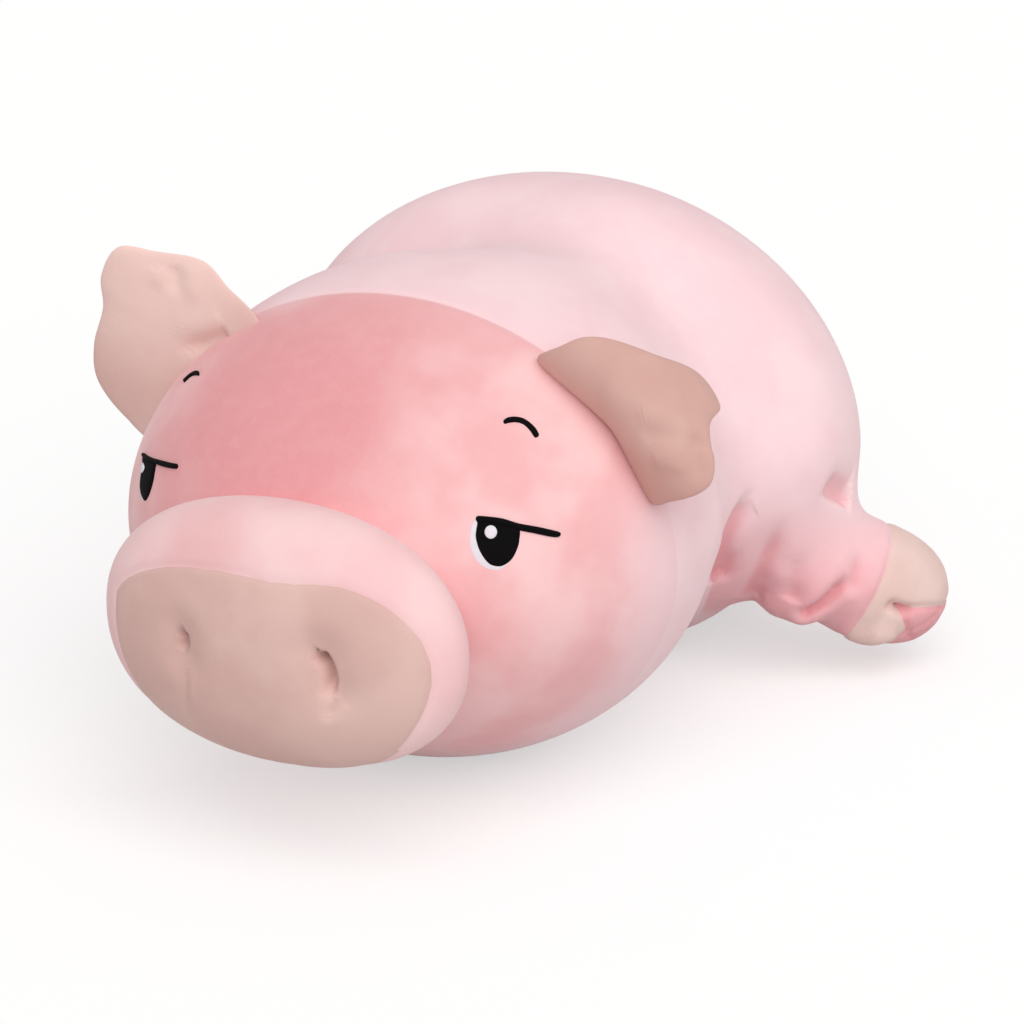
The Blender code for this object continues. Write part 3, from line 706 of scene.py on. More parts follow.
@dataclass(frozen=True)
class Stuffed:
    """A stuffed ball that its weight flattens where it rests on the floor."""

    middle: tuple[float, float, float]
    wide: float
    ahead: float
    behind: float
    rise: float
    sag: float
    sag_share: float = 2.0
    rise_share: float = 2.0
    egg_share: float = 0.0
    settle: float | None = None
    tuck_share: float = 0.0
    rest: float = 0.016

    def place(self, ways: np.ndarray, inset: float = 0.0) -> np.ndarray:
        """The places on the cloth that lie in some directions from the middle.

        Args:
            ways: directions, one row each.
            inset: how far inside the cloth.

        Returns:
            The places, one row each.
        """
        power = np.where(ways[:, 2] >= 0, self.rise_share, self.sag_share)
        across = np.hypot(ways[:, 0], ways[:, 1])
        scale = (across**power + np.abs(ways[:, 2]) ** power) ** (-1 / power)
        x, y, z = (ways * scale[:, None]).T
        reach = np.where(y < 0, self.ahead, self.behind) - inset
        height = np.where(z >= 0, self.rise, self.sag) - inset
        narrow = (1 + self.egg_share * y) * (1 - self.tuck_share * np.minimum(y, 0) * np.minimum(z, 0))
        found = np.stack([x * (self.wide - inset) * narrow, y * reach, z * height], 1)
        found = found + np.array(self.middle)
        if self.settle is None:
            return found
        lowest, floor = inset - self.settle, inset + 0.0003
        share = np.maximum(found[:, 2] - lowest, 0) / (self.rest - lowest)
        rested = floor + (self.rest - floor) * share ** ((self.rest - lowest) / (self.rest - floor))
        found[:, 2] = np.where(found[:, 2] < self.rest, rested, found[:, 2])
        return found

    def depth(self, points: np.ndarray) -> np.ndarray:
        """Returns roughly how far points lie outside the form, in metres."""
        x, y, z = (points - np.array(self.middle)).T
        deep = y / np.where(y < 0, self.ahead, self.behind)
        high = z / np.where(z >= 0, self.rise, self.sag)
        power = np.where(z >= 0, self.rise_share, self.sag_share)
        narrow = 1 + self.egg_share * np.clip(deep, -1, 1)
        narrow = narrow * (1 - self.tuck_share * np.clip(deep, -1, 0) * np.clip(high, -1, 0))
        across = np.hypot(x / (self.wide * narrow), deep)
        reach = (across**power + np.abs(high) ** power) ** (1 / power)
        return (reach - 1) * np.linalg.norm(points - np.array(self.middle), axis=1) / np.maximum(reach, 0.01)


@dataclass(frozen=True)
class Tube:
    """A stuffed limb with a round tip, which swells at its root and again at its hoof."""

    root: tuple[float, float, float]
    along: tuple[float, float, float]
    long: float
    thick: float
    swell: tuple[float, float, float] = (0.96, 0.90, 1.02)
    power: float = 2.7
    flat: float = 0.97

    def axes(self) -> tuple[np.ndarray, np.ndarray, np.ndarray]:
        """Returns the ways along, across and up."""
        along = np.array(self.along)
        across = unit(np.cross((0, 0, 1), along))
        return along, across, np.cross(along, across)

    def tip(self) -> np.ndarray:
        """Returns the end of the limb."""
        return np.array(self.root) + np.array(self.along) * self.long

    def girth(self, share: np.ndarray, inset: float) -> np.ndarray:
        """Returns half the limb's thickness at shares of its length."""
        root, middle, hoof = self.swell
        swell = root * (1 - share) ** 2 + 2 * middle * share * (1 - share) + hoof * share**2
        return self.thick * swell - inset

    def place(self, ways: np.ndarray, inset: float = 0.0) -> np.ndarray:
        """The places on the cloth that lie in some directions.

        Args:
            ways: directions in the limb's own axes: across, up and along.
            inset: how far inside the cloth.

        Returns:
            The places, one row each.
        """
        plan = np.hypot(ways[:, 0], ways[:, 1])
        scale = (plan**self.power + np.abs(ways[:, 2]) ** self.power) ** (-1 / self.power)
        x, y, z = (ways * scale[:, None]).T
        girth = self.girth((z + 1) / 2, inset)
        along, across, up = self.axes()
        middle = np.array(self.root) + along * self.long / 2
        return (middle + np.outer(z * (self.long / 2 - inset), along) + np.outer(x * girth, across)
                + np.outer(y * girth * self.flat, up))

    def depth(self, points: np.ndarray) -> np.ndarray:
        """Returns roughly how far points lie outside the limb, in metres."""
        along, across, up = self.axes()
        offset = points - np.array(self.root) - along * self.long / 2
        z = offset @ along / (self.long / 2)
        girth = self.girth((np.clip(z, -1, 1) + 1) / 2, 0)
        plan = np.hypot(offset @ across / girth, offset @ up / (girth * self.flat))
        reach = (plan**self.power + np.abs(z) ** self.power) ** (1 / self.power)
        return (reach - 1) * self.thick


@dataclass(frozen=True)
class Crease:
    """A fold in the cloth, along a line of the picture or of the object."""

    line: tuple[Pixel, ...]
    deep: float
    wide: float
    ridge: float = 0.0
    fade_in: float = 0.25
    fade_out: float = 0.25
    lean: float = 1.0

    def press(self, points: np.ndarray, normals: np.ndarray, line: np.ndarray) -> np.ndarray:
        """Presses the fold into cloth.

        Args:
            points: the cloth's points.
            normals: the ways that it faces.
            line: the fold's line on the cloth.

        Returns:
            How far each point rises along its normal.
        """
        path = smooth_line(line, 8)
        low, high = path.min(0) - self.wide * 5, path.max(0) + self.wide * 5
        near = np.flatnonzero(((points > low) & (points < high)).all(1))
        rise = np.zeros(len(points))
        if not len(near):
            return rise
        length = lengths(path)
        offset = points[near][:, None, :] - path[None, :, :]
        away = np.linalg.norm(offset, axis=2)
        best = away.argmin(1)
        chosen = offset[np.arange(len(near)), best]
        way = unit(np.gradient(path, axis=0))
        slide = (chosen * way[best]).sum(1)
        inner = (best > 0) & (best < len(path) - 1)
        beyond = np.sqrt(np.maximum((chosen**2).sum(1) - slide**2, 0))
        across = np.where(inner, beyond, np.linalg.norm(chosen, axis=1))
        share = length[best] / length[-1]
        fade = np.ones(len(near))
        if self.fade_in:
            fade = fade * smooth_step(share, -0.001, self.fade_in)
        if self.fade_out:
            fade = fade * smooth_step(1 - share, -0.001, self.fade_out)
        facing = (normals[near] * normals[near][away.min(1).argmin()]).sum(1)
        fade = fade * smooth_step(facing, -0.2, 0.3)
        beside = (np.cross(way[best], normals[near]) * chosen).sum(1) > 0
        wide = np.where(beside, self.wide * self.lean, self.wide / self.lean)
        sides = bell(across - wide * 2.1, wide * 1.2)
        rise[near] = (self.ridge * sides - self.deep * bell(across, wide)) * fade
        return rise


def fold_rise(thing: bpy.types.Object, lens: Lens, folds: Sequence[Crease]) -> np.ndarray:
    """Returns how far folds press each point of a piece along its normal."""
    points, normals, tree = read_points(thing), read_normals(thing), tree_of(thing)
    return sum(fold.press(points, normals, lens.hits(tree, fold.line)) for fold in folds)


# The stuffed body.


class Side(Enum):
    """The pig's two sides."""

    LEFT = 1
    RIGHT = -1

    @property
    def word(self) -> str:
        """Returns the side's name."""
        return self.name.lower()


class Cloth(Enum):
    """The finishes, by the material slots of the record."""

    PALE = "pale_pink_plush"
    DEEP = "deep_pink_plush"
    BEIGE = "beige_plush"
    BLACK = "black_thread"
    WHITE = "white_thread"


def dress(piece: bpy.types.Object, name: str, finish: bpy.types.Material, nodes: Sequence[str]) -> None:
    """Names a piece, gives it its finish, and hides the frame's nodes that it replaces.

    Args:
        piece: the piece.
        name: its name.
        finish: its material.
        nodes: the nodes of the frame that it replaces.
    """
    piece.name = name
    piece.data.materials.clear()
    piece.data.materials.append(finish)
    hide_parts(*nodes)


BEIGE_SHEEN = (1.0, 0.92, 0.9)


@dataclass
class Wardrobe:
    """All finishes of the pig."""

    pale: Colour = linear(250, 214, 219)
    paler: Colour = linear(253, 222, 226)
    pink: Colour = linear(243, 183, 185)
    pinker: Colour = linear(251, 205, 206)
    beige: Colour = linear(219, 180, 172)
    beiger: Colour = linear(228, 192, 184)

    def body(self) -> bpy.types.Material:
        """Returns the pale pink of the body, which deepens over the arms: partly their own pink, partly
        painted shade under them and in their folds.
        """
        return Velour("pale_pink_velour", self.pale, self.paler, deepened=linear(236, 166, 171)).material()

    def crown(self, seam: float) -> bpy.types.Material:
        """Returns the pale pink of the back of the head, with the face's pile over its seam."""
        fringe = Fringe(self.pinker, (0, seam, 0.165), (0, -1, 0), 0.004)
        return Velour("crown_velour", self.pale, self.paler, fringe=fringe).material()

    def face(self, seam: float) -> bpy.types.Material:
        """Returns the deeper pink of the face, which pales towards the cheeks; its deepest patch sits off to
        the pig's right side, where part of it is painted shade.
        """
        # Deepest pink of the face, centred on the pig's right side: the face's own pink, deepened there by
        # painted shade
        blushes = (Blush(linear(233, 158, 162), (-0.035, -0.19, 0.222), 0.05, 0.14, 0.95),)
        fringe = Fringe(self.pale, (0, seam, 0), (0, 1, 0), 0.004)
        fade = Fade(self.pale, seam - 0.060, seam - 0.004, 0.165, 0.215)
        return Velour("face_velour", self.pink, self.pinker, blushes, fringe, fade).material()

    def snout(self, spot: Spot) -> bpy.types.Material:
        """Returns the pink of the snout's band, deeper at a spot above the front."""
        blushes = (Blush(linear(238, 183, 184), spot, 0.012, 0.06, 0.8),)
        return Velour("snout_velour", linear(247, 201, 203), linear(250, 212, 213), blushes).material()

    def hide(self) -> bpy.types.Material:
        """Returns the beige of the snout's front."""
        return Velour("beige_velour", self.beige, self.beiger, sheen=0.25, sheen_tint=BEIGE_SHEEN).material()

    def hoof(self) -> bpy.types.Material:
        """Returns the paler beige of the hooves."""
        dark, pale = linear(229, 198, 190), linear(237, 209, 202)
        return Velour("hoof_velour", dark, pale, sheen=0.25, sheen_tint=BEIGE_SHEEN).material()

    def ear(self, side: Side, tip: Spot) -> bpy.types.Material:
        """Returns the beige of an ear's front: darker and redder on the pig's left ear as painted shade, with
        a paler tip on the pig's right ear as painted light.
        """
        # Darker, redder copy of the beige for the left ear: painted shade
        dark, pale = linear(210, 166, 156), linear(219, 178, 168)
        if side is Side.LEFT:
            return Velour("ear_left_velour", dark, pale, sheen=0.2, sheen_tint=BEIGE_SHEEN).material()
        # Paler patch at the right ear's tip: painted light
        blushes = (Blush(linear(246, 212, 204), tip, 0.04, 0.095, 0.95),)
        return Velour("ear_right_velour", self.beige, self.beiger, blushes, sheen=0.3,
                      sheen_tint=BEIGE_SHEEN).material()

    def sole(self) -> bpy.types.Material:
        """Returns the strong pink under the hooves and behind the ears."""
        return Velour("deep_pink_velour", linear(232, 160, 166), linear(240, 178, 182)).material()


@dataclass
class Limb:
    """One arm or hind leg: its tube, its seams and how it is joined."""

    name: str
    side: Side
    tube: Tube
    seam_share: float
    seam_lean: float
    sole_lean: float
    sole_share: float
    wedged: bool

    def near(self, points: np.ndarray, reach: float = 0.008) -> np.ndarray:
        """Returns which points lie on the limb."""
        return self.tube.depth(points) < reach

    def seam_plane(self) -> tuple[np.ndarray, np.ndarray]:
        """Returns a point of the hoof's seam and the way outwards through it."""
        along, across, _ = self.tube.axes()
        point = np.array(self.tube.root) + along * self.tube.long * self.seam_share
        return point, along * math.cos(self.seam_lean) - across * (self.side.value * math.sin(self.seam_lean))

    def sole_plane(self) -> tuple[np.ndarray, np.ndarray]:
        """Returns a point of the sole's seam and the way up from it."""
        along, _, up = self.tube.axes()
        thick = self.tube.thick
        point = self.tube.tip() - along * thick - up * (thick * (1 - self.sole_share))
        return point, up * math.cos(self.sole_lean) - along * math.sin(self.sole_lean)


# Lines and spots of the picture, all on the pig's left side
ARM_HOLLOWS = (
    Crease(((800, 512), (815, 501), (830, 492), (846, 484)), 0.022, 0.016, 0.0, 0.3, 0.3),
)
CHEST_BULGES = (
    Crease(((712, 480), (718, 510), (713, 545), (702, 585)), -0.004, 0.016, 0.0, 0.4, 0.5),
    Crease(((752, 596), (778, 600), (805, 606), (832, 618)), -0.0100, 0.013, 0.0, 0.4, 0.3),
    Crease(((838, 624), (862, 632), (890, 638)), -0.0050, 0.010, 0.0, 0.3, 0.4),
)
# The chest's edge, past which the sleeves' pink deepens; the step of colour there is painted shade where the
# chest bulges over the arm
CHEST_EDGE = (
    (790, 488), (757, 493), (747, 498), (736, 515), (728, 530), (721, 548), (716, 566), (711, 585),
    (704, 604), (698, 616),
)
ARM_FOLDS = (
    Crease(((762, 492), (749, 498), (738, 515), (730, 530), (723, 548), (718, 566), (713, 585)),
           0.0070, 0.0070, 0.0, 0.35, 0.1, 0.7),
    Crease(((741, 545), (731, 566), (722, 584)), 0.0022, 0.0050, 0.0006, 0.5, 0.2),
    Crease(((788, 508), (780, 530), (772, 552), (761, 577), (749, 597)), 0.0036, 0.0075, 0.0008, 0.4, 0.1),
    Crease(((798, 548), (796, 570), (793, 590), (790, 602)), 0.0026, 0.0065, 0.0006, 0.5, 0.1),
    Crease(((847, 570), (840, 587), (824, 604), (806, 615)), 0.0062, 0.0040, 0.0008, 0.4, 0.0),
    Crease(((859, 544), (859, 562), (855, 582), (849, 598)), 0.0026, 0.0050, 0.0008, 0.5, 0.3),
    Crease(((820, 489), (838, 495), (852, 501)), 0.0085, 0.0070, 0.0, 0.4, 0.1, 0.6),
    Crease(((866, 630), (884, 636), (902, 630)), -0.0040, 0.0090, 0.0, 0.3, 0.3),
    Crease(((893, 607), (901, 610), (907, 612)), 0.0060, 0.0036, 0.0, 0.0, 0.0),
    Crease(((901, 610), (905, 622), (909, 638)), 0.0020, 0.0026, 0.0, 0.0, 0.0),
    Crease(((903, 610), (923, 607.5), (943, 606.5)), 0.0018, 0.0026, 0.0, 0.0, 0.0),
)
WEDGE = ((901, 610), (946, 606.5), (909.5, 642))


@dataclass
class Body:
    """The torso, head, arms and legs as one stuffed skin, then cut into its panels along the seams."""

    lens: Lens
    wardrobe: Wardrobe
    torso_behind: float = 0.145
    neck: float = 0.1464
    seam_ahead: float = 0.0516
    voxel: float = 0.0048
    cap: float = 0.003
    inset: float = 0.0015
    pressure: float = 4
    frames: int = 20
    edge: float = 0.012
    groove: float = 0.0022
    torso: Stuffed = field(init=False)
    head: Stuffed = field(init=False)
    limbs: list[Limb] = field(init=False)
    skin: bpy.types.Object = field(init=False)
    panels: dict[str, bpy.types.Object] = field(default_factory=dict)

    def __post_init__(self) -> None:
        """Sets the forms in the frame."""
        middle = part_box("torso_skin")[1].y - self.torso_behind
        self.torso = Stuffed((0, middle, 0.125), wide=0.1846, ahead=0.085, behind=self.torso_behind,
                             rise=0.157, sag=0.133, sag_share=1.6, settle=0.008, tuck_share=1.0)
        self.head = Stuffed((0, middle - self.neck, 0.1353), wide=0.161, ahead=0.1731, behind=0.1206,
                            rise=0.1378, sag=0.1383, sag_share=1.85, egg_share=-0.19, settle=0.003)
        self.limbs = [
            self.limb(side=side, **sizes)
            for sizes in (
                {"name": "arm", "shares": (0.7064, -0.135, 0.761), "long": 0.1388, "yaw": 47.5, "droop": 27.5,
                 "thick": 0.0396, "seam_share": 0.614, "seam_lean": 17, "sole_lean": 50, "sole_share": 0.24,
                 "wedged": True},
                {"name": "leg", "shares": (0.40, 0.52, 0.41), "long": 0.128, "yaw": 79, "droop": 5,
                 "thick": 0.038, "seam_share": 0.69, "seam_lean": 12, "sole_lean": 16, "sole_share": 0.36,
                 "wedged": False},
            )
            for side in Side
        ]

    def limb(self, name: str, side: Side, shares: Spot, long: float, yaw: float, droop: float, thick: float,
             seam_share: float, seam_lean: float, sole_lean: float, sole_share: float, wedged: bool) -> Limb:
        """Places one limb on the torso.

        Args:
            name: arm or leg.
            side: which of the two.
            shares: its root as shares of the torso's reach.
            long: its length.
            yaw: how many degrees it is turned back.
            droop: how many degrees it slopes down.
            thick: half its thickness.
            seam_share: where the hoof starts.
            seam_lean: how many degrees the hoof's seam is turned.
            sole_lean: how many degrees the sole's seam rises towards the tip.
            sole_share: how much of the tip the sole takes up.
            wedged: whether the sole runs up into the hoof's cleft.

        Returns:
            The limb.
        """
        yaw, droop, seam_lean, sole_lean = np.radians((yaw, droop, seam_lean, sole_lean)).tolist()
        torso = self.torso
        root = (shares[0] * torso.wide * side.value, torso.middle[1] + shares[1] * torso.behind,
                shares[2] * torso.middle[2])
        level = math.cos(droop)
        along = (math.cos(yaw) * level * side.value, math.sin(yaw) * level, -math.sin(droop))
        tube = Tube(root, along, long, thick)
        return Limb(f"{name}_{side.word}", side, tube, seam_share, seam_lean, sole_lean, sole_share, wedged)

    def nearest_form(self, points: np.ndarray) -> np.ndarray:
        """Returns the form that each point belongs to: 0 the torso, 1 the head, then the limbs."""
        depths = [self.torso.depth(points), self.head.depth(points)]
        return np.stack(depths + [limb.tube.depth(points) for limb in self.limbs]).argmin(0)

    def on_head(self, points: np.ndarray) -> np.ndarray:
        """Returns which points lie on the head, or just behind its edge."""
        return self.head.depth(points) < self.torso.depth(points) + 0.004

    def seam_y(self) -> float:
        """Returns how far back the seam between face and crown lies."""
        return self.head.middle[1] - self.seam_ahead

    def stuff(self) -> None:
        """Joins the balls into one skin and evens out the neck and the shoulders."""
        forms = [("torso", 48, self.torso), ("head", 44, self.head)]
        forms += [(limb.name, 22, limb.tube) for limb in self.limbs]
        balls = []
        for name, steps, form in forms:
            balls.append(start_ball(f"{name}_start", steps, lambda ways: form.place(ways, self.inset)))
            if form is self.torso:
                self.press(ARM_HOLLOWS, balls[0])
        take(balls[0])
        for ball in balls[1:]:
            ball.select_set(True)
        bpy.ops.object.join()
        self.skin = balls[0]
        self.skin.name = "skin"
        apply_modifier(self.skin, "REMESH", {"mode": "VOXEL", "voxel_size": self.voxel})
        self.even_out()

    def border(self, points: np.ndarray, edges: np.ndarray, label: np.ndarray, keep: np.ndarray,
               reach: float) -> np.ndarray:
        """How near points lie to a border between two forms.

        Args:
            points: the skin's points.
            edges: its edges.
            label: the form that each point belongs to.
            keep: which points count as border.
            reach: how far the effect goes.

        Returns:
            A share from 1 on the border to 0 far from it.
        """
        crossing = label[edges[:, 0]] != label[edges[:, 1]]
        rim = np.unique(edges[crossing])
        tree = points_tree(points[rim[keep[rim]]])
        return bell(np.array([tree.find(point)[2] for point in points]), reach)

    def fill_neck(self) -> None:
        """Fills the valley between the head and the torso, less on the pig's right, where it stays seen."""
        for _ in range(4):
            points = read_points(self.skin)
            torso, head = self.torso.depth(points), self.head.depth(points)
            reach = 0.04 + 0.08 * smooth_step(points[:, 0], -0.06, 0.05)
            near = np.maximum(reach - np.abs(torso - head), 0) / reach
            rise = near**2 * reach / 4 - np.minimum(torso, head) - self.inset
            rise = np.maximum(rise, 0) * (near > 0) * smooth_step(points[:, 2], 0.02, 0.08)
            way = unit(points * np.array((1, 0, 1)) - np.array((0, 0, 0.13)))
            write_points(self.skin, points + way * rise[:, None] * 0.8)

    def even_out(self) -> None:
        """Turns the sharp joins of the balls into sewn cloth: a wide soft neck and filled shoulders."""
        self.fill_neck()
        points = read_points(self.skin)
        edges = read(self.skin.data.edges, "vertices", 2, np.int32)
        notch = self.near_pixel(points, (842, 499), 26)
        points = relax(points, edges, 0.5 - 0.4 * notch, 2)
        label = self.nearest_form(points)
        neck = (label < 2) & (points[:, 1] < self.torso.middle[1])
        near = self.border(points, edges, label, neck, 0.038)
        soft = 0.25 + 0.75 * smooth_step(points[:, 0], -0.11, -0.01)
        lifted = smooth_step(points[:, 2], 0.015, 0.06)
        points = relax(points, edges, 0.6 * near * soft * lifted, 150)
        is_arm = np.isin(label, (2, 3))
        front = (1 - smooth_step(self.lens.pixels(points)[:, 0], 800, 824)) * (points[:, 2] > 0.06)
        joined = np.where(label > 1, label, 0)
        shoulder = self.border(points, edges, joined, is_arm, 0.022) * front
        hip = self.border(points, edges, joined, (label > 3) & (points[:, 2] > 0.07), 0.02)
        points = relax(points, edges, 0.5 * np.maximum(shoulder, hip), 36)
        points = relax(points, edges, 0.4 - 0.35 * notch, 2)
        write_points(self.skin, points)
        self.press(CHEST_BULGES)

    def near_pixel(self, points: np.ndarray, pixel: Pixel, reach: float) -> np.ndarray:
        """Returns a share that falls from 1 to 0 with the distance from a pixel, alike on both sides."""
        return bell(np.linalg.norm(self.lens.pixels(points) - np.array(pixel), axis=1), reach)

    def press(self, folds: Sequence[Crease], thing: bpy.types.Object | None = None) -> np.ndarray:
        """Presses folds into the skin, or another piece, on both sides of the pig.

        Args:
            folds: the folds, whose lines are seen on the pig's left side.
            thing: the piece, if it isn't the skin.

        Returns:
            How far each point has risen.
        """
        thing = thing or self.skin
        points, normals, tree = read_points(thing), read_normals(thing), tree_of(thing)
        rise = np.zeros(len(points))
        for fold in folds:
            line = self.lens.hits(tree, fold.line)
            rise += fold.press(points, normals, line)
            rise += replace(fold, lean=1 / fold.lean).press(points, normals, line * np.array((-1, 1, 1)))
        write_points(thing, points + normals * rise[:, None])
        return rise

    def swell(self) -> None:
        """Lets the stuffing press the cloth out, as a simulation of air in cloth, with each point's move
        capped.
        """
        before = read_points(self.skin)
        take(self.skin)
        bpy.ops.object.modifier_add(type="CLOTH")
        cloth = self.skin.modifiers[-1]
        cloth.settings.quality = 4
        cloth.settings.effector_weights.gravity = 0
        cloth.settings.use_pressure = True
        cloth.settings.uniform_pressure_force = self.pressure
        scene = bpy.context.scene
        cloth.point_cache.frame_start = 1
        cloth.point_cache.frame_end = self.frames
        for number in range(1, self.frames + 1):
            scene.frame_set(number)
        bpy.ops.object.modifier_apply(modifier=cloth.name)
        scene.frame_set(1)
        moved = read_points(self.skin) - before
        size = np.linalg.norm(moved, axis=1)
        moved = moved * (np.minimum(size, self.cap) / np.maximum(size, 1e-9))[:, None]
        edges = read(self.skin.data.edges, "vertices", 2, np.int32)
        moved = relax(moved, edges, np.full(len(moved), 0.5), 4)
        normals = read_normals(self.skin)
        short = self.inset - float((moved * normals).sum(1).mean())
        points = before + moved + normals * min(max(short, 0), self.inset)
        points[:, 2] = np.maximum(points[:, 2], np.minimum(before[:, 2], self.inset))
        write_points(self.skin, points)

    def cut_seams(self) -> None:
        """Cuts the rows of edges that the seams run along."""
        middles = face_middles(self.skin)
        near = np.abs(middles[:, 1] - self.seam_y()) < self.edge
        cut_row(self.skin, self.on_head(middles) & near, (0, self.seam_y(), 0), (0, 1, 0))
        for limb in self.limbs:
            for point, way in (limb.seam_plane(), limb.sole_plane()):
                middles = face_middles(self.skin)
                near = limb.near(middles) & (np.abs((middles - point) @ way) < self.edge)
                cut_row(self.skin, near, point, way)
            if limb.wedged:
                place, seam = limb.seam_plane()
                for point, way in self.wedge_planes(limb.side):
                    middles = face_middles(self.skin)
                    past = (middles - place) @ seam > self.edge
                    near = past & (np.abs((middles - point) @ way) < self.edge)
                    cut_row(self.skin, near & limb.near(middles, self.edge), point, way)

    def blush(self) -> np.ndarray:
        """Returns how deep the pink of each point is: the arms are deeper from the edge of the chest on and
        towards their undersides, partly their own pink and partly painted shade.
        """
        points = read_points(self.skin)
        seen = self.lens.pixels(points)
        edge = np.array(CHEST_EDGE)
        beyond = smooth_step(seen[:, 0] - np.interp(seen[:, 1], edge[:, 1], edge[:, 0]), -1.5, 2.5)
        depth = np.min([limb.tube.depth(points) for limb in self.limbs[:2]], axis=0)
        near = smooth_step(depth, 0.045, 0.02)
        # Deeper lower down the arm: painted shade on the arms' undersides
        high = smooth_step(seen[:, 1], 478, 545) * 0.42 + smooth_step(seen[:, 1], 535, 605) * 0.28
        return beyond * near * high

    def wedge(self, points: np.ndarray, side: Side) -> np.ndarray:
        """Returns which points show inside the pink wedge of an arm's sole."""
        seen = np.ones(len(points), bool)
        for place, way in self.wedge_planes(side):
            seen &= (points - place) @ way > 0
        return seen

    def wedge_planes(self, side: Side) -> list[tuple[np.ndarray, np.ndarray]]:
        """Returns the wedge's two edges as planes through the camera: a point and the way inwards."""
        turn = np.array((side.value, 1, 1))
        corner, outer, lower = (np.array(self.lens.way(pixel)) for pixel in WEDGE)
        place = np.array(self.lens.place)
        planes = []
        for first, inner in ((outer, lower), (lower, outer)):
            way = unit(np.cross(corner, first))
            planes.append((place * turn, way * turn * np.sign(way @ inner)))
        return planes

    def crease(self) -> None:
        """Presses the folds of the sleeves and the seams' fine grooves into the skin, and stores the arms'
        pink share with painted shade in the folds.
        """
        blush = self.blush()
        # Deeper pink where the sleeves fold in: painted shade in the folds
        blush += 0.4 * smooth_step(-self.press(ARM_FOLDS), 0.0006, 0.0045)
        kept = self.skin.data.attributes.new(PINK_AND_SHADE, "FLOAT", "POINT")
        kept.data.foreach_set("value", np.clip(blush, 0, 1).astype(np.float32))
        points = read_points(self.skin)
        normals = read_normals(self.skin)
        upper = smooth_step(points[:, 2], *FACE_SEAM_FADE)
        rise = -0.0006 * bell(points[:, 1] - self.seam_y(), self.groove) * self.on_head(points) * upper
        for limb in self.limbs:
            near = limb.near(points)
            point, way = limb.seam_plane()
            past = (points - point) @ way
            rise -= 0.0011 * bell(past, self.groove) * near
            point, way = limb.sole_plane()
            rise -= 0.0009 * bell((points - point) @ way, 0.002) * near * (past > 0)
        points = points + normals * rise[:, None]
        points[:, 2] = np.maximum(points[:, 2], 0.0002)
        write_points(self.skin, points)

    def label(self) -> tuple[list[str], np.ndarray]:
        """Returns the panels' names, and the number of the panel that each face belongs to."""
        middles = face_middles(self.skin)
        label = self.nearest_form(middles)
        names = ["torso_cover", "crown_cover", "face_cover"]
        number = np.where(label == 1, np.where(middles[:, 1] < self.seam_y(), 2, 1), 0)
        for order, limb in enumerate(self.limbs):
            point, way = limb.seam_plane()
            beyond = (middles - point) @ way > 0
            point, way = limb.sole_plane()
            below = (middles - point) @ way < 0
            if limb.wedged:
                below |= self.wedge(middles, limb.side)
            start = len(names)
            part = np.where(beyond, np.where(below, 2, 1), 0)
            number = np.where(label == order + 2, start + part, number)
            names += [f"{limb.name}_sleeve_cover", f"{limb.name}_hoof_cover", f"{limb.name}_sole_cover"]
        return names, number.astype(np.int32)

    def split(self, names: list[str], number: np.ndarray) -> None:
        """Separates the skin into its panels.

        Args:
            names: the panels' names.
            number: the panel that each face belongs to.
        """
        self.skin.data.normals_split_custom_set_from_vertices(read_normals(self.skin).tolist())
        for name in names:
            self.skin.data.materials.append(bpy.data.materials.new(name))
        self.skin.data.polygons.foreach_set("material_index", number)
        edit(self.skin, lambda: bpy.ops.mesh.separate(type="MATERIAL"))
        for piece in list(bpy.context.selected_objects):
            mark = piece.data.materials[0]
            piece.data.name = mark.name
            self.panels[mark.name] = piece
            piece.data.materials.clear()
            bpy.data.materials.remove(mark)

    def join_frame(self) -> None:
        """Gives each panel its finish and hides the frame's nodes that it replaces; the torso, crown and face
        panels move with the torso.
        """
        pale, seam = self.wardrobe.body(), self.seam_y()
        for name, finish, nodes, cloth in (
            ("torso_cover", pale, ("torso_skin", "torso_stuffing"), Cloth.PALE),
            ("crown_cover", self.wardrobe.crown(seam), ("crown_panel", "head_stuffing"), Cloth.PALE),
            ("face_cover", self.wardrobe.face(seam), ("face_panel",), Cloth.DEEP),
        ):
            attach(self.panels[name], "torso")
            dress(self.panels[name], name, finish, nodes)
        parts = (("sleeve", pale, Cloth.PALE), ("hoof", self.wardrobe.hoof(), Cloth.BEIGE),
                 ("sole", self.wardrobe.sole(), Cloth.DEEP))
        for limb in self.limbs:
            way = unit(np.array(limb.tube.along) * 0.832 + np.array((0, 0, -0.555)))
            points = read_points(self.panels[f"{limb.name}_sleeve_cover"])
            rim = self.torso.depth(points) < 0.003
            edge = (points[rim] @ way).max() if rim.any() else (points @ way).min()
            base = np.array(limb.tube.root)
            first = base + way * (edge - base @ way)
            for part, finish, cloth in parts:
                name = f"{limb.name}_{part}"
                piece = self.panels[f"{name}_cover"]
                tuple(first + way * 0.035)
                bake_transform(piece)
                nodes = (name, f"{limb.name}_stuffing") if part == "sleeve" else (name,)
                dress(piece, f"{name}_cover", finish, nodes)

    def build(self) -> None:
        """Makes the whole stuffed body."""
        self.stuff()
        self.swell()
        levels = 2
        apply_modifier(self.skin, "SUBSURF", {"levels": levels, "render_levels": levels})
        self.cut_seams()
        names, number = self.label()
        self.crease()
        self.split(names, number)
        self.join_frame()


# The snout.


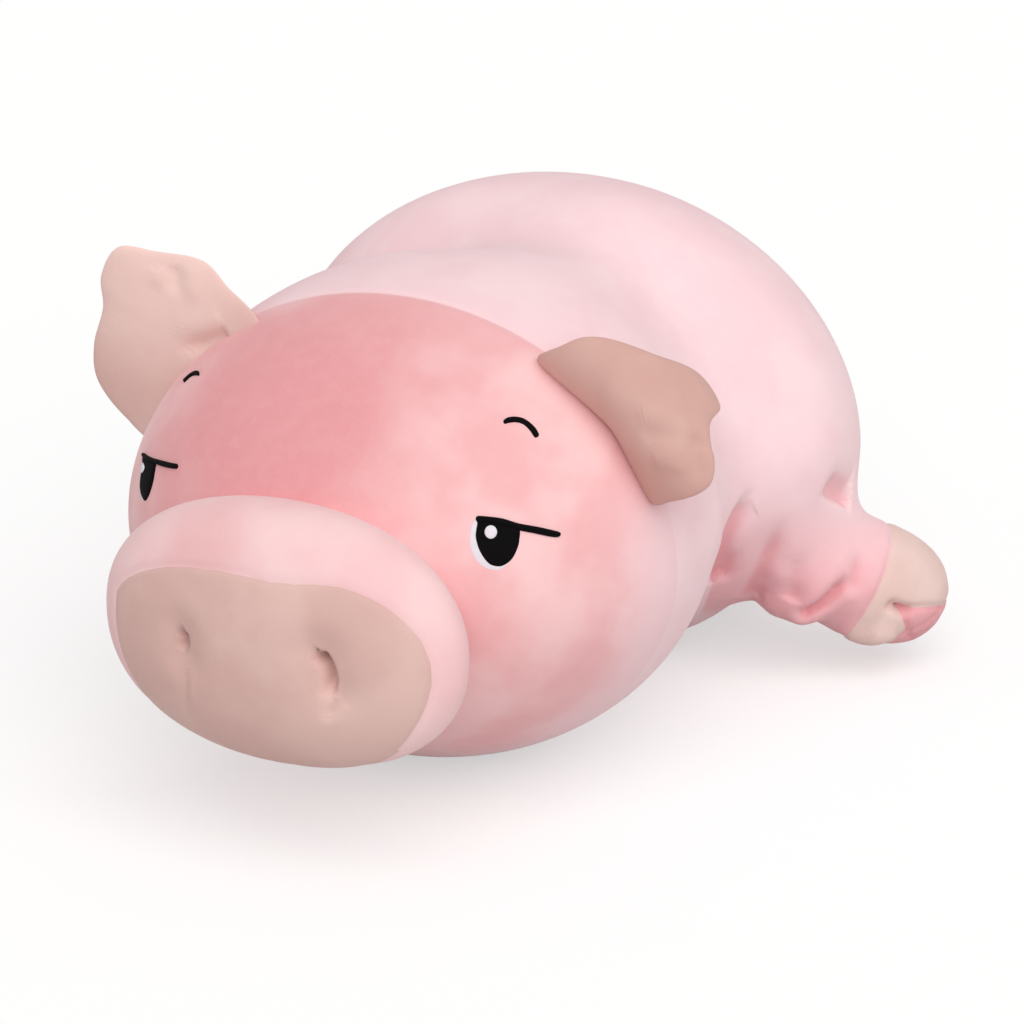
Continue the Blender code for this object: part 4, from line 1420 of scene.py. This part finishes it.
SNOUT_SEAM = (
    (116, 590), (125, 579), (139, 572.5), (158, 568), (180, 567), (204, 570), (231, 574), (250, 578),
    (270, 582.5), (294, 585), (323, 585.5), (342, 588), (362, 595), (384, 606), (405, 623), (422, 642),
    (431, 664), (432, 686), (426, 708), (415, 729),
)
SNOUT_SEAM_LOWER = (-150, -135, -120, -105, -90, -75)
SNOUT_FOLDS = (
    Crease(((180, 638), (181, 643), (179.5, 649), (178, 655)), 0.0078, 0.0021, 0.0, 0.0, 0.5, 1.5),
    Crease(((180, 638), (173, 637)), 0.0030, 0.0018, 0.0, 0.0, 0.7),
    Crease(((178, 634), (181, 654)), 0.0036, 0.0110, 0.0, 0.0, 0.0),
    Crease(((184, 664), (184, 682), (186, 712)), 0.0008, 0.0030, 0.0004, 0.3, 0.5, 1.4),
    Crease(((321, 660), (327, 668), (330.5, 681), (331, 694), (333, 705)), 0.0090, 0.0026, 0.0, 0.0, 0.45,
           1.6),
    Crease(((321, 660), (311, 668)), 0.0040, 0.0022, 0.0, 0.0, 0.8),
    Crease(((318, 656), (330, 692)), 0.0046, 0.0130, 0.0, 0.0, 0.0),
    Crease(((333, 702), (329, 713), (322, 724)), 0.0014, 0.0028, 0.0004, 0.1, 0.6),
)


@dataclass
class Snout:
    """The flattened snout: a pink band, a beige front with a wavy upper seam, and two pulled-in nostrils."""

    lens: Lens
    wardrobe: Wardrobe
    head: Stuffed
    turns: int = 288
    front_rings: int = 72
    back_rings: int = 72
    form: Stuffed = field(init=False)

    def __post_init__(self) -> None:
        """Sets the form in front of the head."""
        x, y, z = self.head.middle
        self.form = Stuffed((x, y - self.head.ahead - 0.0115, z - 0.0105), wide=0.1032, ahead=0.0414,
                            behind=0.0414, rise=0.0700, sag=0.0700, sag_share=2.2, rise_share=2.2)

    def seam(self) -> tuple[np.ndarray, np.ndarray]:
        """The seam round the beige front.

        Returns:
            Its angles round the front's middle, past a full turn both ways, and its reach at each.
        """
        rough = start_ball("snout_probe", 40, self.form.place)
        tree = tree_of(rough)
        upper = self.lens.hits(tree, SNOUT_SEAM)
        bpy.data.objects.remove(rough)
        angle, reach = self.polar(upper)
        angles, reaches = list(angle), list(reach)
        for turn in np.radians(SNOUT_SEAM_LOWER):
            angles.append(float(turn))
            wide = 0.0915 if math.cos(turn) > 0 else 0.0985
            reaches.append(1 / math.hypot(math.cos(turn) / wide, math.sin(turn) / 0.0546))
        return reach_round(np.stack([np.cos(angles) * reaches, np.sin(angles) * reaches], 1))

    def polar(self, points: np.ndarray) -> tuple[np.ndarray, np.ndarray]:
        """Returns the angles of points round the beige front's middle, and their reach from it."""
        high = points[:, 2] - self.centre()
        return np.arctan2(high, points[:, 0]), np.hypot(high, points[:, 0])

    def centre(self) -> float:
        """Returns the height of the beige front's middle."""
        return self.form.middle[2] - 0.0124

    def way(self, x: np.ndarray, z: np.ndarray) -> np.ndarray:
        """Returns the directions on the front of the form that lead to places across and up."""
        power = self.form.rise_share
        across = x / self.form.wide
        high = (z - self.form.middle[2]) / self.form.rise
        size = (np.abs(across) ** power + np.abs(high) ** power) ** (1 / power)
        trim = np.minimum(1, 0.985 / np.maximum(size, 1e-9))
        across, high = across * trim, high * trim
        level = (1 - np.abs(high) ** power) ** (2 / power)
        return unit(np.stack([across, -np.sqrt(np.maximum(level - across**2, 0)), high], 1))

    def slide(self, first: np.ndarray, second: np.ndarray, share: np.ndarray) -> np.ndarray:
        """Returns directions at shares of the way from some directions to others."""
        angle = np.arccos(np.clip((first * second).sum(1), -1, 1))[:, None]
        turned = np.maximum(np.sin(angle), 1e-9)
        share = share[:, None]
        return (first * np.sin((1 - share) * angle) + second * np.sin(share * angle)) / turned

    def build(self) -> None:
        """Makes the snout and its two pieces."""
        around, reach = self.seam()
        rings = self.front_rings + self.back_rings
        front_share = self.front_rings / rings

        def place(angle: np.ndarray, share: np.ndarray) -> np.ndarray:
            """Sets a point on the form: the seam is the ring at front_share."""
            out = np.interp(angle, around, reach)
            centre = self.way(np.zeros_like(angle), np.full_like(angle, self.centre()))
            rim = self.way(out * np.cos(angle), self.centre() + out * np.sin(angle))
            inside = self.slide(centre, rim, np.clip(share / front_share, 0, 1))
            outside = self.slide(rim, -centre, np.clip((share - front_share) / (1 - front_share), 0, 1))
            return self.form.place(np.where((share <= front_share)[:, None], inside, outside))

        def past_seam(points: np.ndarray) -> tuple[np.ndarray, np.ndarray]:
            """Returns how far points lie outside the seam, and which lie on the form's front half."""
            angle, out = self.polar(points)
            return out - np.interp(angle, around, reach), points[:, 1] < self.form.middle[1]

        band = start_rings("snout", self.turns, rings, place)
        points, normals = read_points(band), read_normals(band)
        away, ahead = past_seam(points)
        rise = fold_rise(band, self.lens, SNOUT_FOLDS) - 0.0007 * bell(away, 0.002) * ahead
        write_points(band, points + normals * rise[:, None])
        away, ahead = past_seam(face_middles(band))
        band.data.normals_split_custom_set_from_vertices(read_normals(band).tolist())
        front = split_off(band, (away < 0) & ahead)
        deeper = (-0.03, self.form.middle[1] - 0.03, self.form.middle[2] + 0.05)
        for piece, name, finish, nodes, cloth in (
            (front, "snout_front", self.wardrobe.hide(),
             ("snout_face", "nostril_thread_left", "nostril_thread_right"), Cloth.BEIGE),
            (band, "snout_band", self.wardrobe.snout(deeper), ("snout_gusset", "snout_stuffing"), Cloth.PALE),
        ):
            shade(piece)
            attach(piece, "torso")
            dress(piece, name, finish, nodes)


# The ears.


@dataclass
class Ear:
    """A leaf-shaped ear: a beige front on a pink back, curled between its root and its tip."""

    lens: Lens
    wardrobe: Wardrobe
    head: Stuffed
    side: Side
    root_lean: float
    tip_lean: float
    sweep: float
    arc: float
    outline: tuple[tuple[float, float], ...]
    folds: tuple[Crease, ...] = ()
    long: float = 0.083
    front_plump: float = 0.0055
    back_plump: float = 0.0035
    turns: int = 200
    rings: int = 80

    def corner(self, shares: tuple[float, float, float]) -> np.ndarray:
        """Returns the place that lies at shares of the head's reach from its middle."""
        reach = self.head.ahead if shares[1] < 0 else self.head.behind
        sizes = np.array((self.head.wide * self.side.value, reach, self.head.rise))
        return np.array(self.head.middle) + np.array(shares) * sizes

    def axes(self) -> tuple[np.ndarray, np.ndarray, np.ndarray]:
        """Returns the upper root, the base from there to the lower root, and the way out between them."""
        top = self.corner((0.5516, -0.3697, 0.812))
        base = self.corner((0.943, -0.380, 0.320)) - top
        return top, base, unit(np.cross(base, (0, 1, 0)) * self.side.value)

    def sheet(self, x: np.ndarray, y: np.ndarray) -> tuple[np.ndarray, np.ndarray]:
        """The leaf's middle surface.

        Args:
            x: shares along the base.
            y: shares of the ear's length, out from the base.

        Returns:
            The places, and the ways that the front faces.
        """
        top, base, out = self.axes()
        turn = self.tip_lean - self.root_lean
        lean = self.root_lean + turn * y
        away = self.long * (np.sin(lean) - math.sin(self.root_lean)) / turn
        back = self.long * (math.cos(self.root_lean) - np.cos(lean)) / turn
        away += self.arc * (1 - np.minimum(np.abs(x - 0.54) / 0.54, 1) ** 1.4) * smooth_step(-y, -0.75, 0.0)
        slide = x + self.sweep * np.maximum(y, 0) ** 2
        place = top + np.outer(slide, base) + np.outer(away, out) + np.outer(back, (0, 1, 0))
        way = np.cross(base, np.outer(np.cos(lean), out) + np.outer(np.sin(lean), (0, 1, 0)))
        return place, unit(way) * self.side.value

    def build(self) -> None:
        """Makes the ear's two halves."""
        around, reach = reach_round(smooth_line(self.outline, 12, closed=True) - np.array((0.5, 0.4)))

        def place(angle: np.ndarray, share: np.ndarray) -> np.ndarray:
            """Sets a point on the front or the back of the leaf."""
            turned = share * math.pi
            plan = np.sin(turned)
            out = np.interp(angle, around, reach) * plan
            spot, way = self.sheet(0.5 + out * np.cos(angle), 0.4 + out * np.sin(angle))
            plump = np.where(share < 0.5, self.front_plump, self.back_plump) * np.cos(turned)
            return spot + way * plump[:, None]

        word = self.side.word
        back = start_rings(f"ear_{word}", self.turns, self.rings, place)
        points, normals = read_points(back), read_normals(back)
        write_points(back, points + normals * fold_rise(back, self.lens, self.folds)[:, None])
        shade(back)
        spots = face_middles(back)
        leaf, way = self.nearest(spots)
        front = split_off(back, ((spots - leaf) * way).sum(1) > 0)
        top, base, out = self.axes()
        way = out * math.cos(self.root_lean) + np.array((0, 1, 0)) * math.sin(self.root_lean)
        first = top + base / 2 + way * 0.004
        tip = tuple(self.sheet(np.array([0.3]), np.array([0.75]))[0][0])
        for piece, half, finish, cloth in (
            (front, "front", self.wardrobe.ear(self.side, tip), Cloth.BEIGE),
            (back, "back", self.wardrobe.sole(), Cloth.DEEP),
        ):
            tuple(first + way * 0.012)
            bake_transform(piece)
            dress(piece, f"ear_{word}_{half}_cover", finish, (f"ear_{word}_{half}",))

    def nearest(self, spots: np.ndarray) -> tuple[np.ndarray, np.ndarray]:
        """Returns the nearest places of the leaf's middle surface, and the ways that it faces there."""
        x, y = np.meshgrid(np.linspace(-0.3, 1.4, 120), np.linspace(-0.3, 1.1, 120))
        place, way = self.sheet(x.ravel(), y.ravel())
        tree = points_tree(place)
        found = np.array([tree.find(spot)[1] for spot in spots])
        return place[found], way[found]


LEFT_EAR_OUTLINE = (
    (-0.01, 0.27), (0.04, 0.47), (0.26, 0.71), (0.42, 0.93), (0.63, 0.89), (0.75, 0.70), (1.01, 0.53),
    (1.08, 0.41), (1.05, 0.19), (0.95, -0.16), (0.50, -0.16), (0.00, -0.16),
)
RIGHT_EAR_OUTLINE = (
    (-0.02, 0.24), (0.01, 0.47), (0.22, 0.73), (0.40, 0.93), (0.62, 0.89), (0.76, 0.74), (0.98, 0.62),
    (1.12, 0.44), (1.12, 0.14), (1.00, -0.16), (0.50, -0.16), (-0.03, -0.16),
)
RIGHT_EAR_FOLDS = (
    Crease(((229, 334), (214, 341), (195, 347), (172, 351)), 0.0034, 0.0050, 0.0010, 0.1, 0.5),
    Crease(((174, 262), (175, 280), (172, 300)), 0.0014, 0.0050, 0.0010, 0.3, 0.5),
)
LEFT_EAR_FOLDS = (
    Crease(((640, 440), (660, 437), (690, 440)), 0.0014, 0.0060, 0.0012, 0.3, 0.4),
    Crease(((706, 436), (696, 450), (699, 470), (694, 488)), 0.0018, 0.0050, 0.0008, 0.2, 0.4),
)


# The tail.


@dataclass
class Tail:
    """A small curled tail."""

    wardrobe: Wardrobe
    torso: Stuffed
    thick: float = 0.007
    radius: float = 0.016
    pitch: float = 0.022
    turns: float = 1.2
    rise: float = 0.045

    def build(self) -> None:
        """Makes the curl."""
        lift = self.rise / self.torso.rise
        spot = self.torso.place(np.array([[0, math.sqrt(1 - lift**2), lift]]))[0]
        out = unit(np.array((0, (spot[1] - self.torso.middle[1]) / self.torso.behind**2,
                             (spot[2] - self.torso.middle[2]) / self.torso.rise**2)))
        stem = [spot - out * 0.004, spot + out * self.thick * 0.5, spot + out * self.thick]
        for share in np.arange(1, 41) / 40:
            turn = share * self.turns * math.tau
            side = np.array((self.radius * math.sin(turn), 0, self.radius * (1 - math.cos(turn))))
            stem.append(stem[2] + side + np.array((0, self.pitch * self.turns * share, 0)))
        path = smooth_line(stem, 4)
        marks = lengths(path) / lengths(path)[-1]

        def place(along: np.ndarray, around: np.ndarray) -> np.ndarray:
            """Sets a point on the tube."""
            way = unit(follow(path, marks, along + 0.01) - follow(path, marks, along - 0.01))
            side = unit(np.cross(way, (0.1, 1, 0.2)))
            tip = np.sqrt(np.maximum(1 - np.clip((along - 0.94) / 0.06, 0, 1) ** 2, 0))
            girth = self.thick * (1 - 0.35 * along) * tip
            angle = around * math.tau
            return (follow(path, marks, along) + side * (girth * np.cos(angle))[:, None]
                    + np.cross(way, side) * (girth * np.sin(angle))[:, None])

        piece = start_strip("tail_cover", 160, 28, place)
        close(piece)
        outwards(piece)
        shade(piece)
        first = spot + out * 0.001
        tuple(first + out * 0.008)
        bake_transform(piece)
        finish = Velour("tail_velour", self.wardrobe.pale, self.wardrobe.paler).material()
        dress(piece, "tail_cover", finish, ("tail",))


# The embroidered face.


# How far the back of the embroidery reaches into the cloth, in metres
BACKING = 0.0008


@dataclass
class Eye:
    """One embroidered eye with its brow, drawn in the picture and stitched on the face."""

    lens: Lens
    side: Side
    tree: BVHTree
    lid: tuple[Pixel, ...]
    lid_lower: tuple[Pixel, ...]
    pupil: tuple[Pixel, ...]
    white: tuple[Pixel, ...]
    highlight: tuple[Pixel, ...]
    brow: tuple[Pixel, ...]
    brow_lower: tuple[Pixel, ...]

    def stitch(self, pixels: np.ndarray, heights: np.ndarray, thing: bpy.types.Object) -> None:
        """Lays a flat piece of embroidery on the face.

        Args:
            pixels: where each of its points shows in the picture.
            heights: how far each stands above the cloth.
            thing: the piece.
        """
        places = []
        flat = []
        for pixel, height in zip(pixels, heights):
            point, way = self.lens.hit(self.tree, tuple(pixel))
            if way.dot(self.lens.way(tuple(pixel))) > 0:
                way = -way
            places.append(point + way * height)
            flat.append((pixel[0] * 0.0006, pixel[1] * 0.0006))
        write_points(thing, np.array([tuple(place) for place in places]))
        layer = thing.data.uv_layers.active or thing.data.uv_layers.new(name="threads")
        corners = read(thing.data.loops, "vertex_index", 1, np.int32)[:, 0]
        layer.data.foreach_set("uv", np.array(flat)[corners].astype(np.float32).ravel())
        shade(thing)

    def patch(self, name: str, outline: Sequence[Pixel], low: float, high: float) -> bpy.types.Object:
        """A filled patch of satin stitch with a soft edge.

        Args:
            name: the piece's name.
            outline: the patch in the picture.
            low: how deep its edge lies in the cloth.
            high: how far its middle stands above the cloth.

        Returns:
            The piece.
        """
        path = smooth_line(outline, 6, closed=True)
        middle = path.mean(0)
        angles, reach = reach_round(path - middle)
        thing = add_primitive(name, bpy.ops.mesh.primitive_uv_sphere_add, segments=96, ring_count=36)
        points = read_points(thing)
        angle, plan = np.arctan2(points[:, 1], points[:, 0]), np.hypot(points[:, 0], points[:, 1])
        out = np.interp(angle, angles, reach) * plan
        pixels = middle + np.stack([out * np.cos(angle), out * np.sin(angle)], 1)
        above = low + (high - low) * np.sqrt(np.clip(1 - plan**4, 0, 1))
        below = low - BACKING * np.sqrt(np.clip(1 - plan**2, 0, 1))
        self.stitch(pixels, np.where(points[:, 2] >= 0, above, below), thing)
        outwards(thing)
        return thing

    def ribbon(self, name: str, upper: Sequence[Pixel], lower: Sequence[Pixel], low: float,
               high: float) -> bpy.types.Object:
        """A long narrow patch between two lines of the picture.

        Args:
            name: the piece's name.
            upper: its upper edge, from one end to the other.
            lower: its lower edge, in the same order.
            low: how deep its edge lies in the cloth.
            high: how far its middle stands above the cloth.

        Returns:
            The piece.
        """
        shares = np.linspace(0, 1, 60)
        edges = [smooth_line(edge, 8) for edge in (upper, lower)]
        first, second = (follow(edge, lengths(edge), shares * lengths(edge)[-1]) for edge in edges)

        def place(along: np.ndarray, around: np.ndarray) -> np.ndarray:
            """Sets a point round the ribbon's flat oval section, in pixels and metres of height."""
            angle = around * math.tau
            taper = np.sqrt(np.clip(1 - (2 * along - 1) ** 24, 0, 1))
            across = 0.5 - 0.5 * np.cos(angle) * taper
            start, end = follow(first, shares, along), follow(second, shares, along)
            lift = np.abs(np.sin(angle))
            rise = np.where(np.sin(angle) >= 0, (high - low) * lift**0.7, -BACKING * lift) * taper + low
            return np.concatenate([start + (end - start) * across[:, None], rise[:, None]], 1)

        thing = start_strip(name, 90, 16, place)
        points = read_points(thing)
        self.stitch(points[:, :2], points[:, 2], thing)
        close(thing)
        outwards(thing)
        return thing

    def build(self, black: bpy.types.Material, white: bpy.types.Material) -> None:
        """Stitches the eye and the brow.

        Args:
            black: the dark thread.
            white: the white thread.
        """
        for part, cloth, edges, low, high in (
            (f"eye_{self.side.word}_white", Cloth.WHITE, (self.white,), -0.0002, 0.0005),
            (f"eye_{self.side.word}_pupil", Cloth.BLACK, (self.pupil,), 0.0000, 0.0012),
            (f"eye_{self.side.word}_highlight", Cloth.WHITE, (self.highlight,), 0.0008, 0.0018),
            (f"eye_{self.side.word}_lid", Cloth.BLACK, (self.lid, self.lid_lower), -0.0002, 0.0016),
            (f"brow_{self.side.word}", Cloth.BLACK, (self.brow, self.brow_lower), -0.0002, 0.0012),
        ):
            name = f"{part}_stitch"
            sew = self.patch if len(edges) == 1 else self.ribbon
            piece = sew(name, *edges, low, high)
            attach(piece, "torso")
            dress(piece, name, white if cloth is Cloth.WHITE else black, (part,))


LEFT_EYE = {
    "lid": ((474.7, 515.6), (479.5, 515.6), (501, 518), (519, 523.3), (539.5, 527), (561.8, 532.2)),
    "lid_lower": ((476.4, 524), (486, 522.5), (501, 525.5), (518.4, 530.3), (534.4, 533.5), (549.7, 536.7),
                  (559.9, 537.7)),
    "pupil": ((480, 519), (500, 521), (518.4, 527), (519.3, 540.5), (516.5, 550.7), (511.4, 559.6),
              (503.8, 565.4), (497.4, 566.7), (489.7, 564.7), (483.4, 558.4), (478.3, 549.4), (475.7, 540.5),
              (475.1, 534.1), (476.4, 526)),
    "white": ((478, 519), (500, 522), (516, 530), (517, 545), (511, 560), (502.5, 568.6), (493.6, 570.5),
              (483.4, 567.3), (475.7, 559.6), (470.6, 548.2), (470, 536.7), (471.9, 525.2)),
    "highlight": ((484.2, 532.2), (486.1, 527.3), (490.6, 525.3), (495.1, 527.3), (497, 532.2),
                  (495.1, 537.1), (490.6, 539.1), (486.1, 537.1)),
    "brow": ((502.6, 420.4), (508, 417.5), (515.3, 416.8), (522.5, 418.2), (528.7, 421.8), (534.5, 427),
             (537.6, 431.5), (539.8, 436)),
    "brow_lower": ((504, 424.6), (509, 423), (515.3, 422.4), (521, 423.5), (525.5, 426.2), (530, 431),
                   (532.6, 434.8), (535, 438.6)),
}
RIGHT_EYE = {
    "lid": ((143, 451.8), (150.6, 456.9), (160.8, 460), (171, 462.6), (178.7, 464.1)),
    "lid_lower": ((142.5, 457.5), (150, 461.5), (157.8, 464.8), (163.9, 466.9), (171, 468.4), (178, 469.2)),
    "pupil": ((143.5, 455), (150, 459), (156, 463), (155.7, 468.2), (154.7, 474.3), (153.2, 482.4),
              (150.6, 491.6), (148.1, 497.8), (145.5, 501), (144, 500.3), (141.4, 494.7), (140.2, 486.5),
              (140.9, 477.3), (141.9, 471.2), (143, 464)),
    "white": ((143, 457), (150, 462), (154, 470), (153, 480), (150, 490), (146, 499.5), (143.6, 501.5),
              (140.6, 496), (139.4, 487), (140, 477), (141.3, 467)),
    "highlight": ((144.8, 463), (146.5, 467.5), (145.6, 471), (143.9, 473.5), (143.0, 471), (143.3, 466.5)),
    "brow": ((183.4, 380.9), (186.3, 377.6), (191.4, 373.4), (196, 371), (199.6, 371.2)),
    "brow_lower": ((184.6, 383), (187.2, 380.2), (191, 376.9), (195, 375.5), (199.6, 376.2)),
}


# The studio.


@dataclass
class Studio:
    """A plain white room with soft light from above and the right."""

    lens: Lens
    sky: float = 0.46
    sun: float = 1.95
    sun_from: tuple[float, float, float] = (0.62, -0.74, 1.0)
    sun_size: float = math.radians(65)
    floor_tone: float = 0.68
    floor_share: float = 0.2
    floor_glow: float = 2.55

    def build(self) -> None:
        """Sets the camera, the light and the floor."""
        self.lens.set_up()
        self.light()
        self.floor()
        bpy.context.scene.view_settings.view_transform = "Standard"

    def light(self) -> None:
        """Adds the sky and one broad soft lamp."""
        world = bpy.data.worlds.new("studio")
        world.use_nodes = True
        bpy.context.scene.world = world
        background = world.node_tree.nodes["Background"]
        background.inputs["Color"].default_value = (1.0, 1.0, 1.0, 1.0)
        background.inputs["Strength"].default_value = self.sky
        way = Vector(self.sun_from).normalized()
        turned = way.to_track_quat("Z", "Y").to_euler()
        bpy.ops.object.light_add(type="SUN", location=tuple(way * 3), rotation=turned)
        lamp = bpy.context.object
        lamp.name = "softbox"
        lamp.data.energy = self.sun
        lamp.data.angle = self.sun_size
        lamp.data.color = (1.0, 0.985, 0.97)

    def floor(self) -> None:
        """Adds the white floor, which keeps the object's shadow."""
        plane = add_primitive("floor", bpy.ops.mesh.primitive_plane_add, size=60, location=(0, 0, -0.0005))
        bpy.ops.object.transform_apply(location=True, rotation=True, scale=True)
        recipe = Recipe("studio_floor")
        matt = recipe.node("ShaderNodeBsdfDiffuse", None, {"Color": (*[self.floor_tone] * 3, 1.0)})
        white = (1.0, 1.0, 1.0, 1.0)
        glow = recipe.node("ShaderNodeEmission", None, {"Color": white, "Strength": self.floor_glow})
        seen = recipe.node("ShaderNodeLightPath", outlet="Is Camera Ray")
        mixed = recipe.node("ShaderNodeMixShader", None, {0: seen * self.floor_share, 1: matt, 2: glow})
        plane.data.materials.append(recipe.finish(mixed))


def main() -> None:
    """Builds the pig and its studio."""
    logging.basicConfig(level=logging.INFO, format="%(message)s")
    lens = Lens()
    wardrobe = Wardrobe()
    body = Body(lens, wardrobe)
    body.build()
    LOG.info("body: %s", {name: len(piece.data.polygons) for name, piece in body.panels.items()})
    Snout(lens, wardrobe, body.head).build()
    LOG.info("snout")
    for side, leans, sweep, arc, outline, folds in (
        (Side.RIGHT, (12, -20), -0.10, 0.0, RIGHT_EAR_OUTLINE, RIGHT_EAR_FOLDS),
        (Side.LEFT, (-43, 108), 0.22, 0.012, LEFT_EAR_OUTLINE, LEFT_EAR_FOLDS),
    ):
        root_lean, tip_lean = map(math.radians, leans)
        Ear(lens, wardrobe, body.head, side, root_lean, tip_lean, sweep, arc, outline, folds).build()
    LOG.info("ears")
    Tail(wardrobe, body.torso).build()
    LOG.info("tail")
    tree = tree_of(body.panels["face_cover"])
    black = Satin("black_satin", linear(7, 6, 7), linear(17, 15, 16), gloss=0.6, shine=0.08).material()
    white = Satin("white_satin", linear(238, 232, 242), linear(252, 250, 253)).material()
    Eye(lens, Side.LEFT, tree, **LEFT_EYE).build(black, white)
    Eye(lens, Side.RIGHT, tree, **RIGHT_EYE).build(black, white)
    LOG.info("face")
    Studio(lens).build()


if __name__ == "__main__":
    main()
